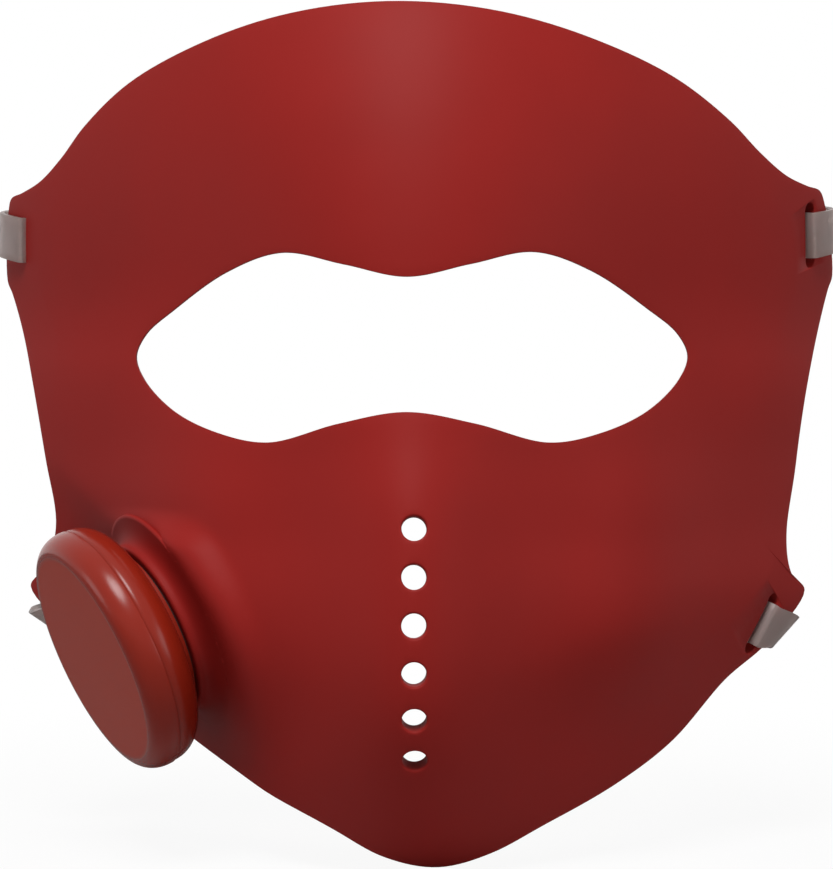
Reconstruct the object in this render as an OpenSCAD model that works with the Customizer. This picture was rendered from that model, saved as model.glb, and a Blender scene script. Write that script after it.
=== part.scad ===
// Flexible light-therapy face mask with a round control pod on one cheek.
// X runs across the face, Y goes from the front of the mask towards the wearer, Z is up.
// The origin is the middle of the wearer's eye line, level with the front of the brow.

/* [Mask] */
// Width of the mask from tab to tab
mask_width = 205; // [195:1:215]
// Height of the mask from forehead edge to chin edge
mask_height = 194; // [184:1:204]
// How far the cheeks sweep back for each unit of width
wrap = 1.2; // [1.1:0.02:1.3]
// Height of the nose ridge over the cheeks
ridge_height = 10; // [7:0.5:12]
// Sideways drift of the edge towards the forehead
forehead_drift = 0.95; // [0:0.05:1.1]
// Sideways drift of the edge towards the chin, to the other side
chin_drift = 0.55; // [0.2:0.05:0.7]

/* [Eye window] */
// Width of the eye window
window_width = 128; // [118:1:132]
// Height of the eye window over both eyes
window_height = 42; // [38:1:44]

/* [Mask wall] */
// Thickness of the whole mask wall
wall = 3.8; // [3.6:0.1:4.4]
// Thickness of the outer silicone skin over the lights
skin = 1.8; // [1.5:0.1:2]
// Thickness of the clear liner over the lights
liner = 0.8; // [0.6:0.1:0.9]
// Width of the solid border around the eye window
border = 3; // [2.5:0.1:4]

/* [Vents] */
// Number of breathing holes down the centre line
vent_count = 6; // [4:1:6]
// Diameter of a breathing hole
vent_d = 5.4; // [4.5:0.1:6]
// Spacing of the breathing holes along the surface
vent_pitch = 10.5; // [9.8:0.1:10.8]
// Height of the first breathing hole below the eye line
vent_drop = 39; // [38:0.5:41]

/* [Straps] */
// Width of a clear strap
strap_width = 11; // [9:0.5:12]
// Thickness of a clear strap
strap_thickness = 1.1; // [0.8:0.1:1.3]
// Length of a strap slot
slot_length = 16; // [14.5:0.5:17]
// Width of a strap slot along the surface
slot_gap = 4.4; // [4:0.1:4.8]
// Distance from the upper tab's edge to the slot's centre, seen from the front
upper_inset = 5.8; // [5.4:0.1:6.2]
// Distance from the lower tab's edge to the slot's centre, seen from the front
lower_inset = 4.4; // [4.2:0.1:5]
// How far back the straps reach behind the eye line
head_depth = 198; // [185:1:210]

/* [Pod] */
// Outer diameter of the control pod
pod_d = 58.8; // [56:0.2:61]
// Distance of the pod centre from the middle of the mask
pod_x = 57.5; // [56.5:0.5:58.5]
// Distance of the pod centre below the eye line
pod_drop = 62.6; // [61.6:0.2:63.6]
// Turn of the pod away from straight ahead, in degrees
pod_turn = 63; // [60:0.5:65]
// Downward tilt of the pod, in degrees
pod_tilt = 23; // [20:0.5:25]
// Height of the pod's widest ring over the cheek
pod_height = 13.2; // [12.5:0.1:14]
// Height of the power cap over the pod's widest ring
cap_height = 7.3; // [6.8:0.1:8]
// Diameter of the flat face of the power cap
face_d = 50.7; // [46:0.1:52]
// Wall thickness of the pod's plastic shells
pod_wall = 1.8; // [1.6:0.1:2]
// Diameter of the pod's neck through the mask
neck_d = 34.6; // [33:0.2:36]
// Gap between the power cap and the rear shell
cap_gap = 0.32; // [0.3:0.02:0.5]

/* [Hidden] */
$fn = 64;

red = [0.55, 0.14, 0.12];
pod_red = [0.52, 0.16, 0.12];
clear = [0.80, 0.76, 0.74, 0.6];
dark = [0.15, 0.15, 0.16];
green = [0.10, 0.35, 0.20];
amber = [0.78, 0.52, 0.20];
steel = [0.72, 0.73, 0.75];
white = [0.93, 0.93, 0.90];

// Width, height and window at which the outlines below are drawn
drawn_width = 205.2;
drawn_height = 194.3;
drawn_window_width = 128;
drawn_window_height = 41.9;

// Right half of the eye window, [x, z] from the top of the nose bridge round to its underside
window_half = [[0, 15.3], [14, 18.2], [28, 21.2], [41, 17.5], [54.2, 9.6], [61.5, 4.2], [64, -0.8],
    [61.8, -6.3], [54.2, -13.5], [43, -18.6], [31, -20.7], [15, -16.6], [0, -14.1]];
// Right half of the outer edge, [x, z] from the forehead past both tabs to the chin
edge_half = [[0, 77.5], [25, 75.5], [46, 70.4], [63.7, 63.3], [76.2, 54.5], [83.5, 47.5], [90, 42.8],
    [95.8, 40.8], [99.4, 40], [100.6, 37.4], [102.6, 20], [101.2, 16.4], [98, 6], [94.6, -8],
    [91.4, -26], [89.2, -42], [91.8, -52.5], [95.8, -57], [83.1, -69.4], [70.5, -77.6], [56, -91.4],
    [42, -100], [24, -108.3], [12, -114.2], [0, -116.8]];
// Centre line of the mask seen from the side, [z, y] from chin to forehead
profile = [[-122, 29], [-112, 16], [-100, 4.4], [-90, -3.4], [-80, -8.6], [-70, -11.2], [-58, -11.8],
    [-46, -11], [-34, -9], [-20, -5], [-5, -2], [10, -0.5], [25, 0], [40, 1.5], [55, 4.5], [70, 9.5],
    [85, 17]];

// Sideways place of the window and of the vents
window_shift = -1.2;
vent_shift = 0.6;

// Places along the edge, as indices into edge_half
upper_tab = 9.45;
lower_tab = 17.85;
// Lean of the slots out of upright, seen from the front, in degrees
upper_lean = -2;
lower_lean = 29;

// The lower tabs are pulled to one side by the pod, and the upper tabs are twisted up on the other
tab_pull = 3.4;
tab_pull_z = -57;
tab_pull_spread = 14;
tab_twist = 0.7;
tab_twist_power = 5;
// The chin is tucked back to one side, and the edge bulges where it crosses the flat under the pod
chin_tuck = 2;
chin_tuck_z = [-104, -117];
flat_bulge = 5;
flat_bulge_z = -87.5;
flat_bulge_spread = 7.5;

// Roundness of the cheeks, of the forehead and of the chin, seen from above
cheek_round = 43;
forehead_round = 58;
chin_round = 33;
forehead_top = 60;
// Heights between which the cheeks turn into the jaw, and how much more the jaw sweeps back
jaw = [-52, -92];
jaw_wrap = 0.15;
// Width of the nose ridge, and the heights between which it rises and fades
ridge_width = 18;
ridge_rise = [0, -45];
ridge_fade = [-75, -120];
ridge_loss = 0.6;
// Fullness of the cheeks: how far forward, how far from the middle and how wide
cheek_full = 7;
cheek_full_x = 50;
cheek_full_width = 17;
cheek_full_rise = [0, -40];
cheek_full_fade = [-60, -95];
// Extra sweep at the tabs
tab_sweep = 7;
tab_power = 8;

// ---------- Curves ----------

function smooth(a, b, v) = let (t = min(max((v - a) / (b - a), 0), 1)) t * t * (3 - 2 * t);

function unit(v) = v / norm(v);

function flat(rows) = [for (row = rows) for (item = row) item];

// Cubic from p to q with end slopes m and n, at t from 0 to 1
function cubic(p, m, q, n, t) = let (s = t * t, c = t * t * t)
    (2 * c - 3 * s + 1) * p + (c - 2 * s + t) * m + (3 * s - 2 * c) * q + (c - s) * n;

// Slope of a smooth curve at its middle point, for a span of length d after it
function span_slope(p, q, r, d, before, after) =
    d * ((q - p) / before - (r - p) / (before + after) + (r - q) / after);

// Smooth curve through four points, between the second and the third
function curve(p, q, r, s, t) = let (
    a = sqrt(norm(q - p)),
    b = sqrt(norm(r - q)),
    c = sqrt(norm(s - r)))
    cubic(q, span_slope(p, q, r, b, a, b), r, span_slope(q, r, s, b, b, c), t);

// Point of a closed symmetrical outline, given its right half; i runs over the right half from
// the top, and a negative i over the left half
function half_point(half, i) = let (
    last = len(half) - 1,
    k = abs(i) > last ? 2 * last - abs(i) : abs(i),
    flip = (i < 0) == (abs(i) <= last) ? -1 : 1)
    [flip * half[k][0], half[k][1]];

function outline_at(half, i) = let (k = floor(i), t = i - k)
    curve(half_point(half, k - 1), half_point(half, k), half_point(half, k + 1),
        half_point(half, k + 2), t);

// Height of a curve y over z given by rows [z, y]
function row_below(rows, z) = max([for (i = [1:len(rows) - 3]) if (i == 1 || rows[i][0] <= z) i]);

function row_slope(rows, i) = (rows[i + 1][1] - rows[i - 1][1]) / (rows[i + 1][0] - rows[i - 1][0]);

function height_at(rows, z) = let (
    i = row_below(rows, z),
    d = rows[i + 1][0] - rows[i][0],
    t = (z - rows[i][0]) / d)
    cubic(rows[i][1], d * row_slope(rows, i), rows[i + 1][1], d * row_slope(rows, i + 1), t);

// ---------- Face of the mask ----------

// Depth of the plain face surface at x, z
function cheek_y(x, z) = let (
    to_jaw = smooth(jaw[0], jaw[1], z),
    c = cheek_round + (forehead_round - cheek_round) * smooth(0, forehead_top, z)
        - (cheek_round - chin_round) * to_jaw,
    ridge = ridge_height * smooth(ridge_rise[0], ridge_rise[1], z)
        * (1 - ridge_loss * smooth(ridge_fade[0], ridge_fade[1], z)),
    full = cheek_full * smooth(cheek_full_rise[0], cheek_full_rise[1], z)
        * (1 - smooth(cheek_full_fade[0], cheek_full_fade[1], z)))
    height_at(profile, z) + ridge * (1 - exp(-pow(x / ridge_width, 2)))
    - full * exp(-pow((abs(x) - cheek_full_x) / cheek_full_width, 2))
    + (wrap + jaw_wrap * to_jaw) * (sqrt(x * x + c * c) - c)
    + tab_sweep * pow(abs(x) / mask_width * 2, tab_power);

// The cheek is flattened under the pod: this plane passes through the pod's seat
pod_out = [-sin(pod_turn) * cos(pod_tilt), -cos(pod_turn) * cos(pod_tilt), -sin(pod_tilt)];
seat_sink = 12;
seat = [-pod_x, cheek_y(-pod_x, -pod_drop) + seat_sink, -pod_drop];
seat_r = 28.5;
fold_round = 1.6;
// The flat stops getting deeper here, and most of it fades out towards the tab
fold_depth = 22;
fold_fade = 0.62;
fold_end = [-95, -70];
// On the nose side the flat stands up from the cheek, this high, and runs out over this width
rise_height = 19;
rise_width = 25;
rise_top = [28, 38];
pod_up = [-sin(pod_turn) * sin(pod_tilt), -cos(pod_turn) * sin(pod_tilt), cos(pod_tilt)];

function seat_y(x, z) = seat[1] - (pod_out[0] * (x - seat[0]) + pod_out[2] * (z - seat[2])) / pod_out[1];

function rounded_part(v) = (v + sqrt(v * v + 4 * fold_round * fold_round)) / 2;

function face_y(x, z) = let (
    cheek = cheek_y(x, z),
    plane = seat_y(x, z),
    behind = plane - cheek,
    from_seat = [x, plane, z] - seat,
    fall = min(max((norm(from_seat) - seat_r) / rise_width, 0), 1),
    cut = rounded_part(behind) - max(behind - fold_depth, 0),
    raised = rounded_part(-behind) - max(-behind - rise_height, 0))
    cheek + cut * (1 - fold_fade * smooth(fold_end[1], fold_end[0], x))
    - raised * pow(1 - fall, 2) * (1 - smooth(rise_top[0], rise_top[1], from_seat * pod_up));

step = 0.1;
function face_out(x, z) = unit([(face_y(x + step, z) - face_y(x - step, z)) / (2 * step), -1,
    (face_y(x, z + step) - face_y(x, z - step)) / (2 * step)]);

// Point at a depth behind the face, straight back from the front, so layers never cross each other
function face_point(p, depth = 0) = [p[0], face_y(p[0], p[1]) - depth / face_out(p[0], p[1])[1], p[1]];

// ---------- Grid of spokes and rings ----------

edge_scale = [mask_width / drawn_width, mask_height / drawn_height];
window_scale = [window_width / drawn_window_width, window_height / drawn_window_height];
drift_unit = 1000;

function bump(height, middle, spread, z) = height * exp(-pow((z - middle) / spread, 2));

function edge_at(i) = let (
    p = outline_at(edge_half, i),
    x = p[0] * edge_scale[0],
    z = p[1] * edge_scale[1],
    drift = (z < 0 ? chin_drift : -forehead_drift) / drift_unit * z * z,
    tuck = chin_tuck * smooth(chin_tuck_z[0], chin_tuck_z[1], z),
    pull = bump(tab_pull, tab_pull_z, tab_pull_spread, z),
    bulge = x < 0 ? bump(flat_bulge, flat_bulge_z, flat_bulge_spread, z) : 0,
    twist = tab_twist * smooth(0, forehead_top / 2, z) * pow(x / mask_width * 2, tab_twist_power))
    [x + drift - tuck - pull - bulge, z + twist];

function window_at(i) = let (p = outline_at(window_half, i / 2))
    [p[0] * window_scale[0] + window_shift, p[1] * window_scale[1]];

// Width of the solid border along the outer edge: wide at the tabs, where the slots pass
tab_border = 11.5;
function edge_border(i) = border + (tab_border - border)
    * max(smooth(5, 7.5, abs(i)) - smooth(11.5, 14, abs(i)),
        smooth(14, 16, abs(i)) - smooth(19.5, 21, abs(i)));

// Point on spoke i: inset from the window, inset from the edge, and a share between the two
function spoke_point(i, from_window, from_edge, share) = let (
    w = window_at(i),
    e = edge_at(i),
    d = norm(e - w),
    along = from_window + (d - from_window - from_edge) * share)
    w + (e - w) * along / d;

// Spokes lie closer together where they cross the pod's seat
last_step = len(edge_half) - 1;
pod_steps = [-21, -16];
spokes_beside_pod = 6;
spokes_elsewhere = 2;
function spokes_after(k) = k >= pod_steps[0] && k < pod_steps[1] ? spokes_beside_pod : spokes_elsewhere;
function spoke_run(a, b) = [for (k = [a:b - 1], j = [0:spokes_after(k) - 1]) k + j / spokes_after(k)];
all_spokes = spoke_run(-last_step, last_step);

// Closed solid between two grids of points; ring joins the last row to the first
module slab(front, back, ring = false) {
    rows = len(front);
    cols = len(front[0]);
    total = rows * cols;
    last = ring ? rows - 1 : rows - 2;
    quads = concat(
        [for (i = [0:last], j = [0:cols - 2]) let (n = (i + 1) % rows)
            [i * cols + j, i * cols + j + 1, n * cols + j + 1, n * cols + j]],
        [for (i = [0:last], j = [0:cols - 2]) let (n = (i + 1) % rows)
            [total + i * cols + j, total + n * cols + j, total + n * cols + j + 1, total + i * cols + j + 1]],
        [for (i = [0:last]) let (n = (i + 1) % rows)
            [i * cols, n * cols, total + n * cols, total + i * cols]],
        [for (i = [0:last]) let (n = (i + 1) % rows, j = cols - 1)
            [i * cols + j, total + i * cols + j, total + n * cols + j, n * cols + j]],
        ring ? [] : [for (j = [0:cols - 2]) [j, total + j, total + j + 1, j + 1]],
        ring ? [] : [for (j = [0:cols - 2]) let (i = (rows - 1) * cols + j)
            [i, i + 1, total + i + 1, total + i]]);
    polyhedron(concat(flat(front), flat(back)),
        [for (q = quads) each [[q[0], q[1], q[2]], [q[0], q[2], q[3]]]]);
}

// Puts its children on the face at p, with Z pointing out of the mask and Y up
module on_face(p, depth = 0) {
    at = face_point(p, depth);
    n = face_out(p[0], p[1]);
    u = unit(cross([0, 0, 1], n));
    v = cross(n, u);
    multmatrix([[u[0], v[0], n[0], at[0]], [u[1], v[1], n[1], at[1]],
            [u[2], v[2], n[2], at[2]], [0, 0, 0, 1]])
        children();
}

// Puts its children at the pod's seat, with Z pointing out along the pod's axis
module on_pod() {
    translate(seat) rotate([90 + pod_tilt, 0, -pod_turn]) children();
}

// ---------- Vents ----------

vent_rim = 2;
function vent_slope(z) = (face_y(0, z + step) - face_y(0, z - step)) / (2 * step);
function vent_z(k) = k == 0 ? -vent_drop
    : let (z = vent_z(k - 1)) z - vent_pitch / sqrt(1 + pow(vent_slope(z - vent_pitch / 2), 2));

module at_vents() {
    for (k = [0:vent_count - 1]) on_face([vent_shift, vent_z(k)]) children();
}

// ---------- Tabs, slots and straps ----------

// How far a band slides along the bar as it leaves the slot, at the upper and the lower tabs
strap_skew = [0, 2.2];
bar_reach = 0.35;
bar_search = [-1.6:0.1:1.6];

// Frame of a tab: slot centre, then the directions outwards over the bar, out of the face and along
// the slot, then the width of the bar, the direction of its outer edge and the band's slide along it
function is_upper(i) = abs(i) < lower_tab;

function tab_frame(i) = let (
    edge = unit(edge_at(i - step) - edge_at(i + step)) * sign(i),
    lean = is_upper(i) ? upper_lean : lower_lean,
    run = [sign(i) * sin(lean), cos(lean)],
    p = edge_at(i) + sign(i) * [-edge[1], edge[0]] * (is_upper(i) ? upper_inset : lower_inset),
    n = face_out(p[0], p[1]),
    rise = (face_y(p[0] + run[0] * step, p[1] + run[1] * step) - face_y(p[0] - run[0] * step,
        p[1] - run[1] * step)) / (2 * step),
    up = unit([run[0], rise, run[1]]),
    across = sign(i) * unit(cross(up, n)),
    a = face_point(edge_at(i - bar_reach)) - face_point(p),
    b = face_point(edge_at(i + bar_reach)) - face_point(p),
    edge_way = unit(a - b) * sign((a - b) * up),
    skew = is_upper(i) ? strap_skew[0] : strap_skew[1],
    beside = [for (j = bar_search) let (d = face_point(edge_at(i + j)) - face_point(p))
        if (abs(d * up - skew) < strap_width / 2 + 0.5) d],
    bar = max([for (d = beside) (d - edge_way * (d * up) / (edge_way * up)) * across]))
    [face_point(p), across, n, up, bar, edge_way, skew];

module on_tab(i) {
    f = tab_frame(i);
    multmatrix([[f[1][0], f[3][0], f[2][0], f[0][0]], [f[1][1], f[3][1], f[2][1], f[0][1]],
        [f[1][2], f[3][2], f[2][2], f[0][2]], [0, 0, 0, 1]])
        children();
}

tabs = [upper_tab, -upper_tab, lower_tab, -lower_tab];

module slot() {
    straight = slot_length - slot_gap;
    translate([-slot_gap / 2, -straight / 2, -2 * wall]) cube([slot_gap, straight, 4 * wall]);
    for (side = [-1, 1]) translate([0, side * straight / 2, -2 * wall]) cylinder(d = slot_gap, h = 4 * wall);
}

// ---------- Mask wall ----------

fit = 0.05;
neck_r = neck_d / 2;
neck_hole_r = neck_r + 0.1;
edge_thickness = 1.6;
edge_slope = 2.4;
pocket_step = 0.4;
share_count = 12;
shares = [for (k = [1:share_count]) k / (share_count + 1)];

// The pocket for the lights ends beside the vents, where the wall stays solid
pocket_end = last_step - 1;
function pocket_floor(i) = abs(i) > pocket_end ? wall : skin;

// Rings of one spoke: inset from the window, inset from the edge, share between them, depth
function front_rings(i) = let (e = edge_border(i)) concat(
    [[0, 0, 0, 0], [edge_slope, 0, 0, 0], [border, 0, 0, 0], [border + pocket_step, 0, 0, 0]],
    [for (s = shares) [border, e, s, 0]],
    [[0, e + pocket_step, 1, 0], [0, e, 1, 0], [0, edge_slope, 1, 0], [0, 0, 1, 0]]);

function back_rings(i) = let (e = edge_border(i), f = pocket_floor(i)) concat(
    [[0, 0, 0, edge_thickness], [edge_slope, 0, 0, wall], [border, 0, 0, wall],
        [border + pocket_step, 0, 0, f]],
    [for (s = shares) [border, e, s, f]],
    [[0, e + pocket_step, 1, f], [0, e, 1, wall], [0, edge_slope, 1, wall], [0, 0, 1, edge_thickness]]);

function ring_point(i, ring) = face_point(spoke_point(i, ring[0], ring[1], ring[2]), ring[3]);

// The clamped pad around the pod's neck, and the lip that stands up round it
pad_r = 23.5;
lip_height = 4;
lip_r = 20.8;
lip_edge = 0.8;
// The lip's outer flank runs out into the cheek in a wide hollow curve: its width and height
flank = [6.2, 3];
flank_root = 1;
arc = [0:15:90];

module neck_collar() {
    rotate_extrude() polygon(concat(
        [[neck_hole_r, -wall], [pad_r, -wall], [pad_r, -flank_root], [lip_r + flank[0], -flank_root]],
        [for (a = arc) [lip_r + flank[0] * (1 - sin(a)), flank[1] * (1 - cos(a))]],
        [for (a = arc) [lip_r - lip_edge * (1 - cos(a)), lip_height - lip_edge * (1 - sin(a))]],
        [[neck_hole_r, lip_height]]));
}

// Channel under the pad for the tail of the circuits, towards the back of the pod
tail_width = 6;
tail_channel = 0.4;

module tail_cut(from, to) {
    translate([-to, -tail_width / 2 - 0.5, -wall - 1]) cube([to - from, tail_width + 1, 1 + tail_channel]);
}

// Room for the tail's step where it meets the circuits, whatever the cheek's curve beside the pad
recess = 2.8;

module tail_recess() {
    translate([-tail_step - recess + 0.4, -tail_width / 2 - 0.5, -wall - 1])
        cube([recess, tail_width + 1, wall + 1 - skin - fit]);
}

module outer_shell() {
    color(red) difference() {
        union() {
            slab([for (i = all_spokes) [for (r = front_rings(i)) ring_point(i, r)]],
                [for (i = all_spokes) [for (r = back_rings(i)) ring_point(i, r)]], ring = true);
            on_pod() neck_collar();
        }
        at_vents() translate([0, 0, -2 * wall]) cylinder(d = vent_d, h = 3 * wall);
        for (i = tabs) on_tab(i) slot();
        on_pod() translate([0, 0, -3 * wall]) cylinder(r = neck_hole_r, h = 5 * wall);
        on_pod() tail_cut(neck_r - 1, pad_r + 1);
        on_pod() tail_recess();
    }
}

// ---------- Liner, circuits and lights ----------

liner_hole_r = 24.3;
circuit_hole_r = 25;
circuit_top = skin + fit;
circuit_thickness = 0.2;
led_depth = 2.36;
led = [2, 2, 0.45];
led_clear = 14;
led_shares = [0.22, 0.5, 0.78];

module layer(spokes, rings, from, to) {
    places = [for (i = spokes) [for (r = rings) spoke_point(i, r[0], edge_border(i) + r[1], r[2])]];
    slab([for (line = places) [for (p = line) face_point(p, from)]],
        [for (line = places) [for (p = line) face_point(p, to)]]);
}

module pod_hole(r) {
    on_pod() translate([0, 0, -3 * wall]) cylinder(r = r, h = 4 * wall);
}

liner_inset = pocket_step + fit;
liner_rings = [for (s = concat([0], shares, [1])) [border + liner_inset, liner_inset, s]];

module inner_liner() {
    color(clear) difference() {
        layer(concat(spoke_run(-pocket_end, pocket_end), [pocket_end]), liner_rings, wall - liner, wall);
        pod_hole(liner_hole_r);
    }
}

module circuit(a, b) {
    rings = [for (s = shares) [border, 0, s]];
    color(amber) difference() {
        layer(concat(spoke_run(a, b), [b]), rings, circuit_top, circuit_top + circuit_thickness);
        pod_hole(circuit_hole_r);
    }
}

forehead_spokes = [-9, 9];
cheek_spokes = [13, 22];

module forehead_circuit() {
    circuit(forehead_spokes[0], forehead_spokes[1]);
}

module left_cheek_circuit() {
    circuit(-cheek_spokes[1], -cheek_spokes[0]);
}

module right_cheek_circuit() {
    circuit(cheek_spokes[0], cheek_spokes[1]);
}

function clear_of_pod(p) = norm(face_point(p) - seat) > circuit_hole_r + led_clear;

module lights(spokes) {
    color(white) for (i = spokes, s = led_shares) {
        p = spoke_point(i, border, edge_border(i), s);
        if (clear_of_pod(p)) on_face(p, led_depth) translate([0, 0, -led[2] / 2]) cube(led, center = true);
    }
}

module forehead_leds() {
    lights([forehead_spokes[0] + 1:2:forehead_spokes[1] - 1]);
}

module left_cheek_leds() {
    lights([-cheek_spokes[1] + 1:2:-cheek_spokes[0] - 1]);
}

module right_cheek_leds() {
    lights([cheek_spokes[0] + 1:2:cheek_spokes[1] - 1]);
}

// ---------- Pod: shells and cap ----------

pod_r = pod_d / 2;
face_r = face_d / 2;
inner_r = pod_r - pod_wall;
neck_inner_r = neck_r - pod_wall;
rear_face_r = 22;
rear_face_z = 6.5;
floor_z = rear_face_z + pod_wall;
rear_depth = pod_height - rear_face_z;
parting_z = pod_height + 1.6;
cap_z = parting_z + cap_gap;
cap_depth = pod_height + cap_height - cap_z;
cap_inner_z = pod_height + cap_height - pod_wall;
fine_arc = [0:7.5:90];
shoulder_r = 19.6;
shoulder_z = lip_height + 0.5;
shoulder_height = 1.6;

// The cap's bead sits under the rear shell's lip and keeps the cap on
bead_reach = 0.3;
bead_height = 0.6;
groove_r = inner_r + 0.6;
groove_z = [pod_height - 1.6, pod_height];
skirt_r = inner_r - 0.3;
skirt_thickness = 1.3;
bead_z = pod_height - bead_reach - bead_height;

board_r = 24.3;
board_z = pod_height - 1;
board_thickness = 1;
post_r = 2.4;
post_ring = 19.5;
post_angles = [90, 210, 330];
screw_r = 1;

socket = [8.94, 7.3, 3.16];
socket_y = -25.3;
socket_z = board_z - fit - socket[2];
socket_gap = 0.25;

clamp_ring = 14;
clamp_angles = [0, 120, 240];
clamp_boss_r = 2.2;
cell_floor = 0.3;

module around(angles, ring) {
    for (a = angles) rotate(a) translate([ring, 0, 0]) children();
}

module socket_block(grow, depth) {
    r = (socket[2] + 2 * grow) / 2;
    translate([0, socket_y - grow, socket_z + socket[2] / 2]) rotate([-90, 0, 0]) linear_extrude(depth)
        for (side = [-1, 1]) {
            translate([side * (socket[0] / 2 + grow - r), 0]) circle(r);
            translate([side > 0 ? 0 : -(socket[0] / 2 + grow - r), -r])
                square([socket[0] / 2 + grow - r, 2 * r]);
        }
}

module pod_rear_shell() {
    color(pod_red) on_pod() difference() {
        union() {
            rotate_extrude() polygon(concat(
                [[neck_inner_r, -wall + fit], [neck_r, -wall + fit], [neck_r, shoulder_z],
                    [shoulder_r, shoulder_z],
                    [shoulder_r, shoulder_z + shoulder_height], [shoulder_r, rear_face_z]],
                [for (a = fine_arc)
                    [rear_face_r + (pod_r - rear_face_r) * sin(a), pod_height - rear_depth * cos(a)]],
                [[pod_r, parting_z], [inner_r, parting_z], [inner_r, groove_z[1]], [groove_r, groove_z[1]],
                    [groove_r, groove_z[0]], [inner_r - fit * 8, groove_z[0]]],
                [for (a = [60:-7.5:0]) [rear_face_r + (inner_r - rear_face_r) * sin(a),
                    pod_height - (rear_depth - pod_wall) * cos(a)]],
                [[neck_inner_r, floor_z]]));
            around(post_angles, post_ring) translate([0, 0, floor_z - fit])
                cylinder(r = post_r, h = board_z - floor_z);
            around(clamp_angles, clamp_ring) translate([0, 0, -wall + fit]) cylinder(r = clamp_boss_r,
                h = wall - fit + cell_floor);
        }
        around(post_angles, post_ring) translate([0, 0, floor_z]) cylinder(r = screw_r + fit, h = board_z);
        around(clamp_angles, clamp_ring) translate([0, 0, -wall - 1])
            cylinder(r = screw_r + fit, h = wall + 0.5);
        translate([0, -8, 0]) socket_block(socket_gap, 12);
        tail_cut(neck_inner_r - 4, neck_r + 1);
    }
}

module power_cap() {
    color(pod_red) on_pod() rotate_extrude() polygon(concat(
        [[0, pod_height + cap_height]],
        [for (a = fine_arc) [face_r + (pod_r - face_r) * sin(a), cap_z + cap_depth * cos(a)]],
        [[skirt_r, cap_z], [skirt_r, bead_z + bead_height], [skirt_r + 2 * bead_reach, bead_z + bead_height],
            [skirt_r + 2 * bead_reach, bead_z], [skirt_r - skirt_thickness, bead_z],
            [skirt_r - skirt_thickness, cap_z + 1.4]],
        [for (a = [60:-7.5:0]) [face_r + (skirt_r - skirt_thickness - face_r) * sin(a),
            cap_z + 1.4 + (cap_inner_z - cap_z - 1.4) * cos(a)]],
        [[0, cap_inner_z]]));
}

// ---------- Pod: switch, board and socket ----------

switch_size = [6, 6, 3.2];
switch_top = board_z + board_thickness + fit + switch_size[2];
plunger_r = 1.45;
plunger_gap = 0.3;
plunger_depth = 0.7;

module switch_stem() {
    color(white) on_pod() {
        translate([0, 0, switch_top - plunger_depth]) cylinder(r = plunger_r, h = cap_inner_z - switch_top);
        translate([0, 0, switch_top + plunger_gap + 0.2]) cylinder(r = 2.6, h = cap_inner_z - switch_top - 1);
        translate([0, 0, cap_inner_z - 0.8]) cylinder(r = 6, h = 0.8 - fit / 5);
    }
}

module power_switch() {
    color(dark) on_pod() difference() {
        translate([-switch_size[0] / 2, -switch_size[1] / 2, switch_top - switch_size[2]]) cube(switch_size);
        translate([0, 0, switch_top - 1.4]) cylinder(r = plunger_r + plunger_gap, h = 2);
    }
}

module main_board() {
    color(green) on_pod() difference() {
        translate([0, 0, board_z]) cylinder(r = board_r, h = board_thickness);
        around(post_angles, post_ring) translate([0, 0, board_z - 1]) cylinder(r = screw_r + 0.15, h = 3);
    }
}

module board_screws() {
    color(steel) on_pod() around(post_angles, post_ring) {
        translate([0, 0, floor_z + 0.6]) cylinder(r = screw_r, h = board_z - floor_z);
        translate([0, 0, board_z + board_thickness + fit / 2]) difference() {
            cylinder(r = 1.9, h = 1.2);
            for (a = [0, 90]) rotate(a) translate([-1.2, -0.2, 0.7]) cube([2.4, 0.4, 1]);
        }
    }
}

// Chips on the board: place [x, y] and size
chips = [[[9, 8], [5, 5, 0.9]], [[-10, 6], [7, 4, 1.5]], [[10, -9], [4, 3, 0.8]], [[-9, -10], [3, 6, 1]]];

module control_chips() {
    color(dark) on_pod() for (c = chips)
        translate([c[0][0], c[0][1], board_z + board_thickness + fit + c[1][2] / 2])
            cube(c[1], center = true);
}

module charge_socket() {
    rim = 0.3;
    color(steel) on_pod() difference() {
        socket_block(0, socket[1]);
        translate([0, -1, 0]) socket_block(-rim, socket[1]);
    }
    color(dark) on_pod() translate([-3.3, socket_y + 1, socket_z + socket[2] / 2 - 0.35])
        cube([6.6, socket[1] - 1.2, 0.7]);
}

// ---------- Pod: battery and circuit tail ----------

cell_r = 12.2;
cell_z = cell_floor + fit;
cell_height = 7.5;
clip_r = 18;
clip_height = 0.8;
tail_x = 13.9;
tail_low = -wall + fit;
tail_high = 10.9;
tail_step = 23.9;

module battery_cell() {
    color(steel) on_pod() translate([0, 0, cell_z]) cylinder(r = cell_r, h = cell_height);
}

module battery_pad() {
    top = cell_z + cell_height + fit / 2;
    color(dark) on_pod() translate([0, 0, top]) cylinder(r = 11, h = floor_z - top);
}

module battery_clip() {
    color(white) on_pod() difference() {
        translate([0, 0, floor_z + fit / 2]) cylinder(r = clip_r - 1.4, h = clip_height);
        translate([-clip_r, -tail_width / 2 - 0.5, floor_z - 1])
            cube([clip_r - tail_x + 1, tail_width + 1, 4]);
    }
}

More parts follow.
